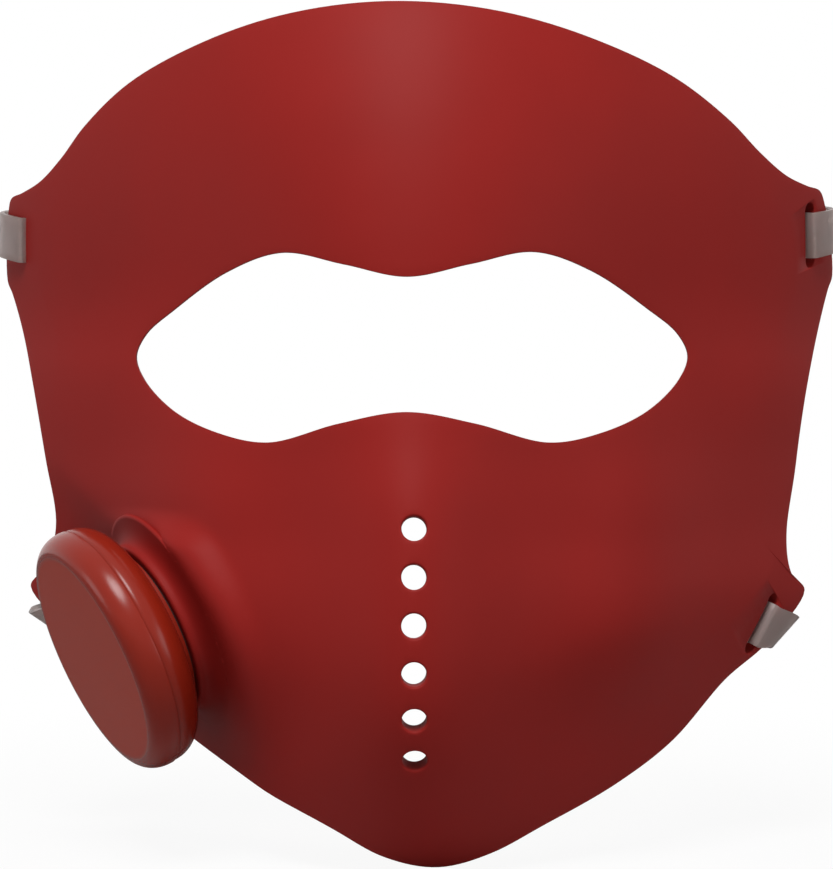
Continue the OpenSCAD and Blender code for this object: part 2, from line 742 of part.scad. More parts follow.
module circuit_tail() {
    t = circuit_thickness;
    color(amber) on_pod() {
        translate([-tail_step - 2, -tail_width / 2, -skin - fit - 0.22 - t]) cube([2 + t, tail_width, t]);
        translate([-tail_step, -tail_width / 2, tail_low]) cube([t, tail_width, wall - skin - 2 * fit - 0.2]);
        translate([-tail_step, -tail_width / 2, tail_low]) cube([tail_step - tail_x + t, tail_width, t]);
        translate([-tail_x, -tail_width / 2, tail_low]) cube([t, tail_width, tail_high + t - tail_low]);
        translate([-tail_x - 3, -tail_width / 2, tail_high]) cube([3 + t, tail_width, t]);
    }
}

module tail_connector() {
    size = [3.6, tail_width + 2, 1.7];
    at = [-tail_x - 1.8 - size[0], -size[1] / 2, board_z - fit / 2 - size[2]];
    color(white) on_pod() difference() {
        translate(at) cube(size);
        translate([at[0] + 1.5, -tail_width / 2 - 0.3, tail_high - 0.15])
            cube([size[0], tail_width + 0.6, 0.5]);
    }
}

// ---------- Pod: fixing to the mask ----------

clamp_r = 20;
clamp_thickness = 1.3;
clamp_z = -wall - fit;
clamp_head = 0.95;
cover_r = 23.3;
cover_wall = 1.2;
cover_depth = 3.6;

module neck_seal() {
    color(dark) on_pod() translate([0, 0, lip_height + fit / 2]) difference() {
        cylinder(r = 18.6, h = shoulder_z - lip_height - fit);
        translate([0, 0, -1]) cylinder(r = neck_r + fit, h = 3);
    }
}

module clamp_plate() {
    color(white) on_pod() translate([0, 0, clamp_z - clamp_thickness]) difference() {
        cylinder(r = clamp_r, h = clamp_thickness);
        translate([0, 0, -1]) cylinder(r = 8, h = 4);
        around(clamp_angles, clamp_ring) translate([0, 0, -1]) cylinder(r = screw_r + 0.15, h = 4);
    }
}

module clamp_screws() {
    low = clamp_z - clamp_thickness - fit;
    color(steel) on_pod() around(clamp_angles, clamp_ring) translate([0, 0, low]) difference() {
        union() {
            cylinder(r = screw_r, h = 4.3);
            translate([0, 0, -clamp_head]) cylinder(r = 2, h = clamp_head);
        }
        for (a = [0, 90]) rotate(a) translate([-1.2, -0.2, -clamp_head - 1]) cube([2.4, 0.4, 1.5]);
    }
}

module pod_inner_cover() {
    back = clamp_z - cover_depth;
    color(pod_red) on_pod() rotate_extrude() polygon([[0, back], [cover_r - 1, back], [cover_r, back + 1],
        [cover_r, clamp_z], [cover_r - cover_wall, clamp_z], [cover_r - cover_wall, back + cover_wall],
        [clamp_r + fit + cover_wall, back + cover_wall], [clamp_r + fit + cover_wall, clamp_z - fit],
        [clamp_r + fit, clamp_z - fit], [clamp_r + fit, back + cover_wall], [0, back + cover_wall]]);
}

// ---------- Straps ----------

// Room between a band and the bar, in front of it and behind it
bar_room = [0.5, 2.6];
strap_lift = bar_room[0] + strap_thickness / 2;
strap_under = wall + bar_room[1] + strap_thickness / 2;
// Where a strap leaves the bar on its way round the head: outwards past the bar, and out of the face
strap_start = [0.8, -strap_under];
strap_fold_gap = 0.2;
strap_back = [46, -32];
// The loop over the tab's bar, from the tail round to the main strap: outwards from the middle of the
// slot or past the bar's end, and out of the face
loop_past_bar = [[3.6, -2.5], [2.4, -0.5], [0.2, strap_lift]];
loop_in_slot = [[1, strap_lift], [0.15, 0.75], [-0.1, 0], [-0.1, -wall],
    [0.15, 0.3 - strap_under], [1, -strap_under]];
// Shares of the way from a tab to the back of the head
tail_places = [0.095, 0.075, 0.055, 0.035];
head_places = [0.05, 0.075, 0.12, 0.19, 0.27, 0.36, 0.46, 0.57, 0.68, 0.79, 0.9];
stud_place = 0.075;
hole_places = [0.12, 0.145, 0.17, 0.195];
quarter_turn = 1.66;
strap_drop = 0.25;
strap_step = 0.005;
// Share of the way at which a strap stands upright
strap_upright = 0.4;
stud_r = 1.5;
stud_head = [2.6, 0.8];

function loop_point(f, p) = f[0] + p[0] * f[1] + p[1] * f[2];

function past_bar(f, p) = loop_point(f, [f[4] + p[0], p[1]]) + f[6] * f[5];

function loop(f) = concat(
    [for (p = loop_past_bar) [past_bar(f, p), f[5]]],
    [for (p = loop_in_slot) [loop_point(f, p), f[3]]],
    [[past_bar(f, strap_start), f[5]]]);

// Point of a strap on its way round the head: t is 0 at the tab and 1 at the back of the head
function strap_base(f, rise, t) = let (
    p = past_bar(f, strap_start),
    reach = quarter_turn * (head_depth - p[1]))
    cubic(p, [0, reach, reach * strap_drop * f[1][2] / f[1][1]], [0, head_depth, rise],
        [-quarter_turn * p[0], 0, 0], t);

// Frame of a strap at t: point, then the directions along it, across it and out of it
function strap_frame(f, rise, t) = let (
    at = strap_base(f, rise, t),
    way = unit(strap_base(f, rise, t + strap_step) - at),
    upright = smooth(0, strap_upright, t),
    lean = f[5] * (1 - upright) + [0, 0, upright],
    up = unit(lean - (lean * way) * way))
    [at, way, up, sign(at[0]) * cross(way, up)];

// Rows of one half of a strap, from its tail to the back of the head: [point, width direction]
function strap_half(i, rise) = let (f = tab_frame(i), lift = strap_thickness + strap_fold_gap) concat(
    [for (t = tail_places) let (s = strap_frame(f, rise, t)) [s[0] + lift * s[3], s[2]]],
    loop(f),
    [for (t = head_places) let (s = strap_frame(f, rise, t)) [s[0], s[2]]]);

function strap_rows(i, rise) = let (
    left = strap_half(-i, rise),
    right = strap_half(i, rise),
    n = len(right))
    concat(left, [[[0, head_depth, rise], [0, 0, 1]]], [for (k = [n - 1:-1:0]) right[k]]);

// Flat band through rows, with mitred corners
module ribbon(rows) {
    n = len(rows);
    ways = [for (k = [0:n - 2]) unit(rows[k + 1][0] - rows[k][0])];
    mean = [for (k = [0:n - 1]) unit(ways[max(k - 1, 0)] + ways[min(k, n - 2)])];
    lift = [for (k = [0:n - 1])
        unit(cross(mean[k], rows[k][1])) * strap_thickness / 2 / (mean[k] * ways[min(k, n - 2)])];
    across = [for (r = rows) r[1] * strap_width / 2];
    slab([for (k = [0:n - 1]) [for (side = [1, -1]) rows[k][0] - lift[k] + side * across[k]]],
        [for (k = [0:n - 1]) [for (side = [1, -1]) rows[k][0] + lift[k] + side * across[k]]]);
}

// Puts its children on a strap on its way round the head, with Z pointing outwards
module on_strap(i, rise, t) {
    s = strap_frame(tab_frame(i), rise, t);
    side = cross(s[2], s[3]);
    multmatrix([[side[0], s[2][0], s[3][0], s[0][0]], [side[1], s[2][1], s[3][1], s[0][1]],
        [side[2], s[2][2], s[3][2], s[0][2]], [0, 0, 0, 1]])
        children();
}

module strap(i, rise) {
    color(clear) difference() {
        ribbon(strap_rows(i, rise));
        for (side = [-1, 1], t = concat([stud_place], hole_places))
            on_strap(side * i, rise, t) translate([0, 0, -2]) cylinder(r = stud_r + fit, h = 5);
    }
}

module studs(i, rise) {
    reach = strap_thickness / 2 + 6 * fit;
    color(clear) for (side = [-1, 1]) on_strap(side * i, rise, stud_place) {
        translate([0, 0, -reach]) cylinder(r = stud_r, h = 2 * reach + strap_thickness + strap_fold_gap);
        translate([0, 0, -reach - stud_head[1]]) cylinder(r = stud_head[0], h = stud_head[1]);
        translate([0, 0, reach + strap_thickness + strap_fold_gap])
            cylinder(r = stud_head[0], h = stud_head[1]);
    }
}

module upper_strap() {
    strap(upper_tab, strap_back[0]);
}

module lower_strap() {
    strap(lower_tab, strap_back[1]);
}

module upper_strap_studs() {
    studs(upper_tab, strap_back[0]);
}

module lower_strap_studs() {
    studs(lower_tab, strap_back[1]);
}

outer_shell();
inner_liner();
forehead_circuit();
left_cheek_circuit();
right_cheek_circuit();
forehead_leds();
left_cheek_leds();
right_cheek_leds();
circuit_tail();
pod_rear_shell();
power_cap();
switch_stem();
power_switch();
main_board();
board_screws();
control_chips();
tail_connector();
charge_socket();
battery_cell();
battery_pad();
battery_clip();
neck_seal();
clamp_plate();
clamp_screws();
pod_inner_cover();
upper_strap();
lower_strap();
upper_strap_studs();
lower_strap_studs();
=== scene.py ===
# %% [markdown]
# # A soft light-therapy face mask
#
# The mask is a flexible silicone shell that wraps the face. Lights sit in a thin pocket behind the
# red skin, under a clear liner, and a round control pod with a button for a face is clamped through
# one cheek. Two clear straps hold the mask on. The hard parts come ready from the part's solids,
# which are loaded as a fixed frame. This lesson rebuilds the parts that are seen, so that their
# curves are smooth, and then gives every surface a material.

# %% Load the frame
import math

import bmesh
import bpy
from mathutils import Matrix, Vector


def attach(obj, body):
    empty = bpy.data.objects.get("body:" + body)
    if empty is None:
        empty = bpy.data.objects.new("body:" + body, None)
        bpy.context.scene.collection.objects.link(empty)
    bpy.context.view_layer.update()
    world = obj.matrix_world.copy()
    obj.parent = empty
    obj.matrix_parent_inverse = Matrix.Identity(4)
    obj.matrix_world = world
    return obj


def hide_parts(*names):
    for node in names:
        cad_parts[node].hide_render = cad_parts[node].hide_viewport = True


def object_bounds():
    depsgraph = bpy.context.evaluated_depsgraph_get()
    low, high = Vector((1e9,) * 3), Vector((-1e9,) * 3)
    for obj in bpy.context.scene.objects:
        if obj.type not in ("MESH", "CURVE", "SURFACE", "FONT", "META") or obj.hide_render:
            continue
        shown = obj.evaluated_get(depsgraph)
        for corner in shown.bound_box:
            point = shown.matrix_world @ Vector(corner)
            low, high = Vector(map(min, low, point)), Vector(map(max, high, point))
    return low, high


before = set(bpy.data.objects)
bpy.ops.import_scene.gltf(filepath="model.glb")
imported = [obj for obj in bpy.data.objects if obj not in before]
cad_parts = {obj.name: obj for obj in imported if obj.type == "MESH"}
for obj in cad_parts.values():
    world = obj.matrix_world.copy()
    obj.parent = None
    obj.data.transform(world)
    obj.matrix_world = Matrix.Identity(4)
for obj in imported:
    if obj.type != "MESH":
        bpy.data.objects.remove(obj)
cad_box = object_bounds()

scene = bpy.context.scene
mm = 0.001
print("frame:", len(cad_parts), "nodes, box", cad_box)

# %% [markdown]
# ## The camera
#
# The camera looks at the front of the mask from about 600 mm, a little from its wearer's left.
# A long lens at that distance keeps the wrap of the cheeks as it is. The sensor is fitted across,
# so the lens means the same thing whatever the height of the picture.

# %% Camera
view_turn = math.radians(1.15)
view_distance = 600 * mm
view_start = Vector((0.9, 0, -19)) * mm
lens = 119.28
sensor_width = 36
view_end = 20

camera_data = bpy.data.cameras.new("camera")
camera_data.lens = lens
camera_data.sensor_width = sensor_width
camera_data.sensor_fit = "HORIZONTAL"
camera_data.clip_end = view_end
camera = bpy.data.objects.new("camera", camera_data)
view_way = Vector((math.sin(view_turn), -math.cos(view_turn), 0))
camera.location = view_start + view_distance * view_way
camera.rotation_euler = (math.radians(90), 0, view_turn)
scene.collection.objects.link(camera)
scene.camera = camera
print("camera at", tuple(round(c, 4) for c in camera.location))

# %% [markdown]
# ## Curves to draw with
#
# The outer edge and the eye window are smooth curves through a few points each. Half of an outline
# is enough, because the other half mirrors it. A cubic between two points, with its slopes taken
# from the neighbours, gives the curve. The side view of the face is a curve of the same kind.


# %% Smooth steps and cubics
def smooth(a, b, v):
    t = min(max((v - a) / (b - a), 0), 1)
    return t * t * (3 - 2 * t)


def cubic(p, m, q, n, t):
    s = t * t
    c = s * t
    return (2 * c - 3 * s + 1) * p + (c - 2 * s + t) * m + (3 * s - 2 * c) * q + (c - s) * n


def curve(p, q, r, s, t):
    a = math.sqrt((q - p).length)
    b = math.sqrt((r - q).length)
    c = math.sqrt((s - r).length)
    start = b * ((q - p) / a - (r - p) / (a + b) + (r - q) / b)
    end = b * ((r - q) / b - (s - q) / (b + c) + (s - r) / c)
    return cubic(q, start, r, end, t)


def half_point(half, i):
    last = len(half) - 1
    k = 2 * last - abs(i) if abs(i) > last else abs(i)
    flip = -1 if (i < 0) == (abs(i) <= last) else 1
    return Vector((flip * half[k][0], half[k][1]))


def outline_at(half, i):
    k = math.floor(i)
    return curve(*(half_point(half, k + n) for n in (-1, 0, 1, 2)), i - k) * mm


def height_at(rows, z):
    z = z / mm
    i = max(k for k in range(1, len(rows) - 2) if k == 1 or rows[k][0] <= z)
    (z0, y0), (z1, y1), (z2, y2), (z3, y3) = rows[i - 1:i + 3]
    d = z2 - z1
    start = d * ((y2 - y0) / (z2 - z0))
    end = d * ((y3 - y1) / (z3 - z1))
    return cubic(y1, start, y2, end, (z - z1) / d) * mm


# %% The outlines, in millimetres
window_half = [
    (0, 15.3), (14, 18.2), (28, 21.2), (41, 17.5), (54.2, 9.6), (61.5, 4.2), (64, -0.8),
    (61.8, -6.3), (54.2, -13.5), (43, -18.6), (31, -20.7), (15, -16.6), (0, -14.1),
]
edge_half = [
    (0, 77.5), (25, 75.5), (46, 70.4), (63.7, 63.3), (76.2, 54.5), (83.5, 47.5), (90, 42.8),
    (95.8, 40.8), (99.4, 40), (100.6, 37.4), (102.6, 20), (101.2, 16.4), (98, 6), (94.6, -8),
    (91.4, -26), (89.2, -42), (91.8, -52.5), (95.8, -57), (83.1, -69.4), (70.5, -77.6), (56, -91.4),
    (42, -100), (24, -108.3), (12, -114.2), (0, -116.8),
]
side_view = [
    (-122, 29), (-112, 16), (-100, 4.4), (-90, -3.4), (-80, -8.6), (-70, -11.2), (-58, -11.8),
    (-46, -11), (-34, -9), (-20, -5), (-5, -2), (10, -0.5), (25, 0), (40, 1.5), (55, 4.5), (70, 9.5),
    (85, 17),
]
last_step = len(edge_half) - 1
# The drawn edge is 205.2 by 194.3 mm and the drawn window 41.9 mm high
edge_scale = (205 / 205.2, 194 / 194.3)
window_scale = (1, 42 / 41.9)
window_shift = -1.2 * mm
forehead_drift = 0.95
chin_drift = 0.55
mask_width = 205 * mm
forehead_top = 60 * mm
# The lower tabs are pulled to one side by the pod, and the upper tabs are twisted up on the other
tab_pull = 3.4 * mm
tab_pull_z = -57 * mm
tab_pull_spread = 14 * mm
tab_twist = 0.7 * mm
tab_twist_power = 5
# The chin is tucked back to one side, and the edge bulges where it crosses the flat under the pod
chin_tuck = 2 * mm
chin_tuck_z = (-104 * mm, -117 * mm)
flat_bulge = 5 * mm
flat_bulge_z = -87.5 * mm
flat_bulge_spread = 7.5 * mm


def bump(height, middle, spread, z):
    return height * math.exp(-(((z - middle) / spread) ** 2))


def edge_at(i):
    x, z = outline_at(edge_half, i)
    x = x * edge_scale[0]
    z = z * edge_scale[1]
    drift = (chin_drift if z < 0 else -forehead_drift) * z * z
    tuck = chin_tuck * smooth(*chin_tuck_z, z)
    pull = bump(tab_pull, tab_pull_z, tab_pull_spread, z)
    bulge = bump(flat_bulge, flat_bulge_z, flat_bulge_spread, z) if x < 0 else 0
    twist = tab_twist * smooth(0, forehead_top / 2, z) * (x / mask_width * 2) ** tab_twist_power
    return Vector((x + drift - tuck - pull - bulge, z + twist))


def window_at(i):
    x, z = outline_at(window_half, i / 2)
    return Vector((x * window_scale[0] + window_shift, z * window_scale[1]))


print("mask from", edge_at(0)[1], "down to", edge_at(last_step)[1])

# %% [markdown]
# ## The face as a height field
#
# The mask has one depth for every place seen from the front, so its shape is a single function.
# The side view gives the middle line, a root of squares wraps it round the head, and a bell curve
# raises the nose ridge. Under the pod the cheek is cut or built up to a flat seat, and the change
# from one to the other is rounded so that it flows like moulded silicone.

# %% Depth of the face
wrap = 1.2
cheek_round = 43 * mm
forehead_round = 58 * mm
chin_round = 33 * mm
# Heights between which the cheeks turn into the jaw, and how much more the jaw sweeps back
jaw = (-52 * mm, -92 * mm)
jaw_wrap = 0.15
ridge_height = 10 * mm
ridge_width = 18 * mm
ridge_rise = (0, -45 * mm)
ridge_fade = (-75 * mm, -120 * mm)
ridge_loss = 0.6
cheek_full = 7 * mm
cheek_full_x = 50 * mm
cheek_full_width = 17 * mm
cheek_full_rise = (0, -40 * mm)
cheek_full_fade = (-60 * mm, -95 * mm)
tab_sweep = 7 * mm
tab_power = 8


def cheek_y(x, z):
    to_jaw = smooth(*jaw, z)
    c = cheek_round + (forehead_round - cheek_round) * smooth(0, forehead_top, z)
    c -= (cheek_round - chin_round) * to_jaw
    ridge = ridge_height * smooth(*ridge_rise, z) * (1 - ridge_loss * smooth(*ridge_fade, z))
    full = cheek_full * smooth(*cheek_full_rise, z) * (1 - smooth(*cheek_full_fade, z))
    y = height_at(side_view, z) + ridge * (1 - math.exp(-((x / ridge_width) ** 2)))
    y -= full * math.exp(-(((abs(x) - cheek_full_x) / cheek_full_width) ** 2))
    y += (wrap + jaw_wrap * to_jaw) * (math.sqrt(x * x + c * c) - c)
    return y + tab_sweep * (abs(x) / mask_width * 2) ** tab_power


# %% The pod's seat on the cheek
pod_x = 57.5 * mm
pod_drop = 62.6 * mm
pod_turn = math.radians(63)
pod_tilt = math.radians(23)
seat_sink = 12 * mm
seat_r = 28.5 * mm
fold_round = 1.6 * mm
fold_depth = 22 * mm
fold_fade = 0.62
fold_end = (-95 * mm, -70 * mm)
rise_height = 19 * mm
rise_width = 25 * mm
rise_top = (19 * mm, 29 * mm)

seat = Vector((-pod_x, cheek_y(-pod_x, -pod_drop) + seat_sink, -pod_drop))
pod_frame = (
    Matrix.Translation(seat)
    @ Matrix.Rotation(-pod_turn, 4, "Z")
    @ Matrix.Rotation(math.pi / 2 + pod_tilt, 4, "X")
)
pod_out = pod_frame.col[2].xyz
pod_up = pod_frame.col[1].xyz


def rounded_part(v):
    return (v + math.sqrt(v * v + 4 * fold_round * fold_round)) / 2


def face_y(x, z):
    cheek = cheek_y(x, z)
    plane = seat.y - (pod_out.x * (x - seat.x) + pod_out.z * (z - seat.z)) / pod_out.y
    behind = plane - cheek
    from_seat = Vector((x, plane, z)) - seat
    fall = min(max((from_seat.length - seat_r) / rise_width, 0), 1)
    cut = rounded_part(behind) - max(behind - fold_depth, 0)
    raised = rounded_part(-behind) - max(-behind - rise_height, 0)
    raised *= (1 - fall) ** 2 * (1 - smooth(*rise_top, from_seat.dot(pod_up)))
    return cheek + cut * (1 - fold_fade * smooth(fold_end[1], fold_end[0], x)) - raised


step = 0.1 * mm


def face_out(x, z):
    across = (face_y(x + step, z) - face_y(x - step, z)) / (2 * step)
    rise = (face_y(x, z + step) - face_y(x, z - step)) / (2 * step)
    return Vector((across, -1, rise)).normalized()


def face_point(p, depth=0):
    y = face_y(*p)
    if depth:
        y -= depth / face_out(*p).y
    return Vector((p[0], y, p[1]))


print("pod seat at", tuple(round(c / mm, 2) for c in seat), "mm")

# %% [markdown]
# ## Places on the mask
#
# Any spot on the mask lies on a spoke from the window's edge to the outer edge, at a share of the
# way along it. A border beside each edge stays solid, and it is wider at the four tabs. A frame on
# the face, with Z out of it, is what the vents, slots and straps are placed with.

# %% Spokes
border = 3 * mm
tab_border = 11.5 * mm
# Steps at which the border starts to widen, is wide, starts to narrow and is narrow again
upper_span = (5, 7.5, 11.5, 14)
lower_span = (14, 16, 19.5, 21)


def within(span, i):
    return smooth(span[0], span[1], i) - smooth(span[2], span[3], i)


def edge_border(i):
    i = abs(i)
    return border + (tab_border - border) * max(within(upper_span, i), within(lower_span, i))


def spoke_point(i, from_window, from_edge, share):
    w = window_at(i)
    e = edge_at(i)
    d = (e - w).length
    return w + (e - w) * (from_window + (d - from_window - from_edge) * share) / d


def frame_at(at, across, up, out):
    return Matrix((*zip(across, up, out, at), (0, 0, 0, 1)))


def on_face(p, depth=0):
    out = face_out(*p)
    across = Vector((0, 0, 1)).cross(out).normalized()
    return frame_at(face_point(p, depth), across, out.cross(across), out)


# %% [markdown]
# ## Helpers for pieces
#
# Most pieces start as a grid that is laid out by a rule, or as a profile that is spun round an
# axis. Both helpers hand back a bmesh, which is then put in its place by a frame. A piece becomes an
# object once, and says which of the frame's bodies it rides on and which solid it stands for.

# %% Turn a bmesh into a piece
def make_object(name, bm):
    mesh = bpy.data.meshes.new(name)
    bm.to_mesh(mesh)
    bm.free()
    obj = bpy.data.objects.new(name, mesh)
    scene.collection.objects.link(obj)
    return obj


def finish_piece(obj, body, slot, *nodes):
    for face in obj.data.polygons:
        face.use_smooth = True
    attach(obj, body)
    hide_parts(*nodes)
    obj.data.calc_loop_triangles()
    print(obj.name, "stands for", nodes, "with", len(obj.data.loop_triangles), "triangles")
    return obj


# %% Join what meets, round edges, and put a mesh in its place
weld = 0.01 * mm


def close_up(bm):
    bmesh.ops.remove_doubles(bm, verts=bm.verts, dist=weld)
    bmesh.ops.recalc_face_normals(bm, faces=bm.faces)
    return bm


def bevel(bm, edges, width, segments, clamp=False):
    round_edge = {"affect": "EDGES", "profile": 0.5, "material": -1, "clamp_overlap": clamp}
    bmesh.ops.bevel(bm, geom=edges, offset=width, segments=segments, **round_edge)


def placed(bm, frame_on_mask):
    """Moves a mesh to a frame, which mirrors it, inside out, at the tabs and straps of the -X side.

    A cutter that is inside out takes nothing away, so the slots and strap holes of that side stay
    closed, and its studs face inwards.
    """
    bmesh.ops.transform(bm, matrix=frame_on_mask, verts=bm.verts)
    return bm


# %% Spin a profile
def arc(centre, radius, start, end, steps=8):
    turns = [math.radians(start + (end - start) * k / steps) for k in range(steps + 1)]
    return [(centre[0] + radius[0] * math.cos(a), centre[1] + radius[1] * math.sin(a)) for a in turns]


def turned(profile, steps, closed=False, turn=0):
    """Spins a profile of (radius, height) round Z. An open profile starts and ends on the axis."""
    bm = bmesh.new()
    spot = Matrix.Rotation(turn, 3, "Z")
    verts = [bm.verts.new(spot @ Vector((r, 0, z))) for r, z in profile]
    edges = [bm.edges.new(pair) for pair in zip(verts, verts[1:])]
    if closed:
        edges.append(bm.edges.new((verts[-1], verts[0])))
    circle = {"cent": (0, 0, 0), "axis": (0, 0, 1), "angle": 2 * math.pi, "steps": steps}
    bmesh.ops.spin(bm, geom=verts + edges, use_merge=True, **circle)
    return close_up(bm)


def cylinder(radius, low, high, steps, turn=0):
    return turned([(0, low), (radius, low), (radius, high), (0, high)], steps, turn=turn)


# %% Cut one piece with others
def as_one(*parts):
    """Gathers several bmeshes in one."""
    whole = bmesh.new()
    for part in parts:
        mesh = bpy.data.meshes.new("part")
        part.to_mesh(mesh)
        part.free()
        whole.from_mesh(mesh)
        bpy.data.meshes.remove(mesh)
    return whole


def applied(obj):
    """Puts an object's modifiers into its mesh."""
    bpy.context.view_layer.update()
    mesh = bpy.data.meshes.new_from_object(obj.evaluated_get(bpy.context.evaluated_depsgraph_get()))
    obj.modifiers.clear()
    obj.data = mesh


def cut(obj, cutter_bm):
    cutter = make_object("cutter", cutter_bm)
    boolean = obj.modifiers.new("cut", "BOOLEAN")
    boolean.operation = "DIFFERENCE"
    boolean.solver = "EXACT"
    boolean.object = cutter
    applied(obj)
    bpy.data.objects.remove(cutter)


# %% [markdown]
# ## The silicone shell
#
# The shell is moulded in one piece: a skin with a shallow pocket behind it, thicker borders, and
# rounded rims. A grid is wrapped round the window, with its columns along the spokes. Extruding the
# whole grid gives the back, whose points then take the depth of the pocket or of the border. The
# bevel rounds both rims. The vents and slots are cut with flared cutters that follow the curve of
# the face, which leaves soft moulded rims round them.

# %% Rings across the wall
wall = 3.8 * mm
skin = 1.8 * mm
liner = 0.8 * mm
edge_thickness = 1.6 * mm
edge_slope = 2.4 * mm
pocket_step = 0.4 * mm
pocket_end = last_step - 1
spokes_per_step = 8
share_count = 48
shares = [k / (share_count + 1) for k in range(1, share_count + 1)]


def shell_rings(i):
    """Rings of one spoke: inset from the window, inset from the edge, share, depth of the back."""
    e = edge_border(i)
    floor = wall if abs(i) > pocket_end else skin
    near_window = [(0, 0, 0, edge_thickness), (edge_slope, 0, 0, wall), (border, 0, 0, wall)]
    pocket = [(border + pocket_step, 0, 0, floor)] + [(border, e, s, floor) for s in shares]
    pocket.append((0, e + pocket_step, 1, floor))
    near_edge = [(0, e, 1, wall), (0, edge_slope, 1, wall), (0, 0, 1, edge_thickness)]
    return near_window + pocket + near_edge


# %% Lay out a grid on the face
def laid_grid(spokes, ring_lists, front_depth=0):
    """A grid with a column for each spoke, pushed out to its rings, then extruded to its back."""
    columns = len(spokes)
    rows = len(ring_lists[0])
    bm = bmesh.new()
    bmesh.ops.create_grid(bm, x_segments=columns - 1, y_segments=rows - 1, size=0.5)
    back = bm.verts.layers.float_vector.new("back")
    rim = bm.verts.layers.int.new("rim")
    is_back = bm.verts.layers.int.new("is_back")
    for v in bm.verts:
        column = round((v.co.x + 0.5) * (columns - 1))
        row = round((v.co.y + 0.5) * (rows - 1))
        ring = ring_lists[column][row]
        v[rim] = row in (0, rows - 1)
        p = spoke_point(spokes[column], *ring[:3])
        v[back] = face_point(p, ring[3])
        v.co = face_point(p, front_depth)
    bmesh.ops.remove_doubles(bm, verts=bm.verts, dist=weld)
    front = set(bm.verts)
    bmesh.ops.extrude_face_region(bm, geom=bm.faces[:])
    for v in bm.verts:
        if v not in front:
            v.co = v[back]
            v[is_back] = 1
    bmesh.ops.recalc_face_normals(bm, faces=bm.faces)
    return bm


last_column = last_step * spokes_per_step
all_spokes = [k / spokes_per_step for k in range(-last_column, last_column + 1)]
shell_bm = laid_grid(all_spokes, [shell_rings(i) for i in all_spokes])
print("shell grid:", len(shell_bm.verts), "points")

# %% [markdown]
# Both rims of the shell are rounded by a bevel. Only the edges that run along the window or along
# the outer edge are picked: a rim edge joins two points of the front, or two of the back, that both
# lie on the first or the last ring.

# %% Round the rims
rim_round = 0.7 * mm
rim_segments = 4
rim = shell_bm.verts.layers.int["rim"]
is_back = shell_bm.verts.layers.int["is_back"]
rims = [
    edge
    for edge in shell_bm.edges
    if all(v[rim] for v in edge.verts) and edge.verts[0][is_back] == edge.verts[1][is_back]
]
bevel(shell_bm, rims, rim_round, rim_segments, clamp=True)
shell = make_object("mask_shell", shell_bm)
print("rims:", len(rims), "edges rounded to", rim_round / mm, "mm")

# %% [markdown]
# The cutters are spun profiles that widen in a small curve at both faces of the wall. A slot's
# cutter is the same shape pulled apart along the slot. A vent lies on the sharp nose ridge, so its
# cutter is bent to follow the ridge, and the soft rim is equally deep all the way round.

# %% Flared cutters
vent_count = 6
vent_r = 2.7 * mm
vent_pitch = 10.5 * mm
vent_drop = 39 * mm
vent_shift = 0.6 * mm
vent_flare = 0.6 * mm
cutter_reach = 4 * mm
cutter_steps = 64
# Past its arc a cutter widens in a straight line, by these many flares out and off the face
flare_reach = 2.67
flare_lift = 0.48


def flared_cutter(radius, flare):
    wide = radius + flare_reach * flare
    lift = flare_lift * flare
    low = -wall - cutter_reach
    front = arc((radius + flare, -flare), (flare, flare), 180, 105)
    back = arc((radius + flare, flare - wall), (flare, flare), 255, 180)
    profile = [(0, low), (wide, low), (wide, -wall - lift), *back, *front]
    profile += [(wide, lift), (wide, cutter_reach), (0, cutter_reach)]
    return turned(profile, cutter_steps, turn=math.pi / cutter_steps)


def vent_places():
    z = -vent_drop
    for _ in range(vent_count):
        yield vent_shift, z
        middle = z - vent_pitch / 2
        slope = (face_y(0, middle + step) - face_y(0, middle - step)) / (2 * step)
        z -= vent_pitch / math.sqrt(1 + slope * slope)


def vent_cutter(p):
    at = on_face(p)
    bm = placed(flared_cutter(vent_r, vent_flare), at)
    out = at.col[2].xyz
    for v in bm.verts:
        flat = at.translation.y - (out.x * (v.co.x - p[0]) + out.z * (v.co.z - p[1])) / out.y
        v.co.y += face_y(v.co.x, v.co.z) - flat
    return bm


# %% Frames of the tabs
upper_tab = 9.45
lower_tab = 17.85
upper_inset = 5.8 * mm
lower_inset = 4.4 * mm
upper_lean = math.radians(-2)
lower_lean = math.radians(29)
slot_length = 16 * mm
slot_gap = 4.4 * mm
slot_flare = 0.5 * mm
index_step = 0.1
strap_width = 11 * mm
# How far a band slides along the bar as it leaves the slot, at the upper and the lower tabs
strap_skew = {upper_tab: 0, lower_tab: 2.2 * mm}
# The bar's outer edge is looked for this many small steps each way, within a band and a margin
bar_search = 16
bar_margin = 0.5 * mm
bar_reach = 0.35


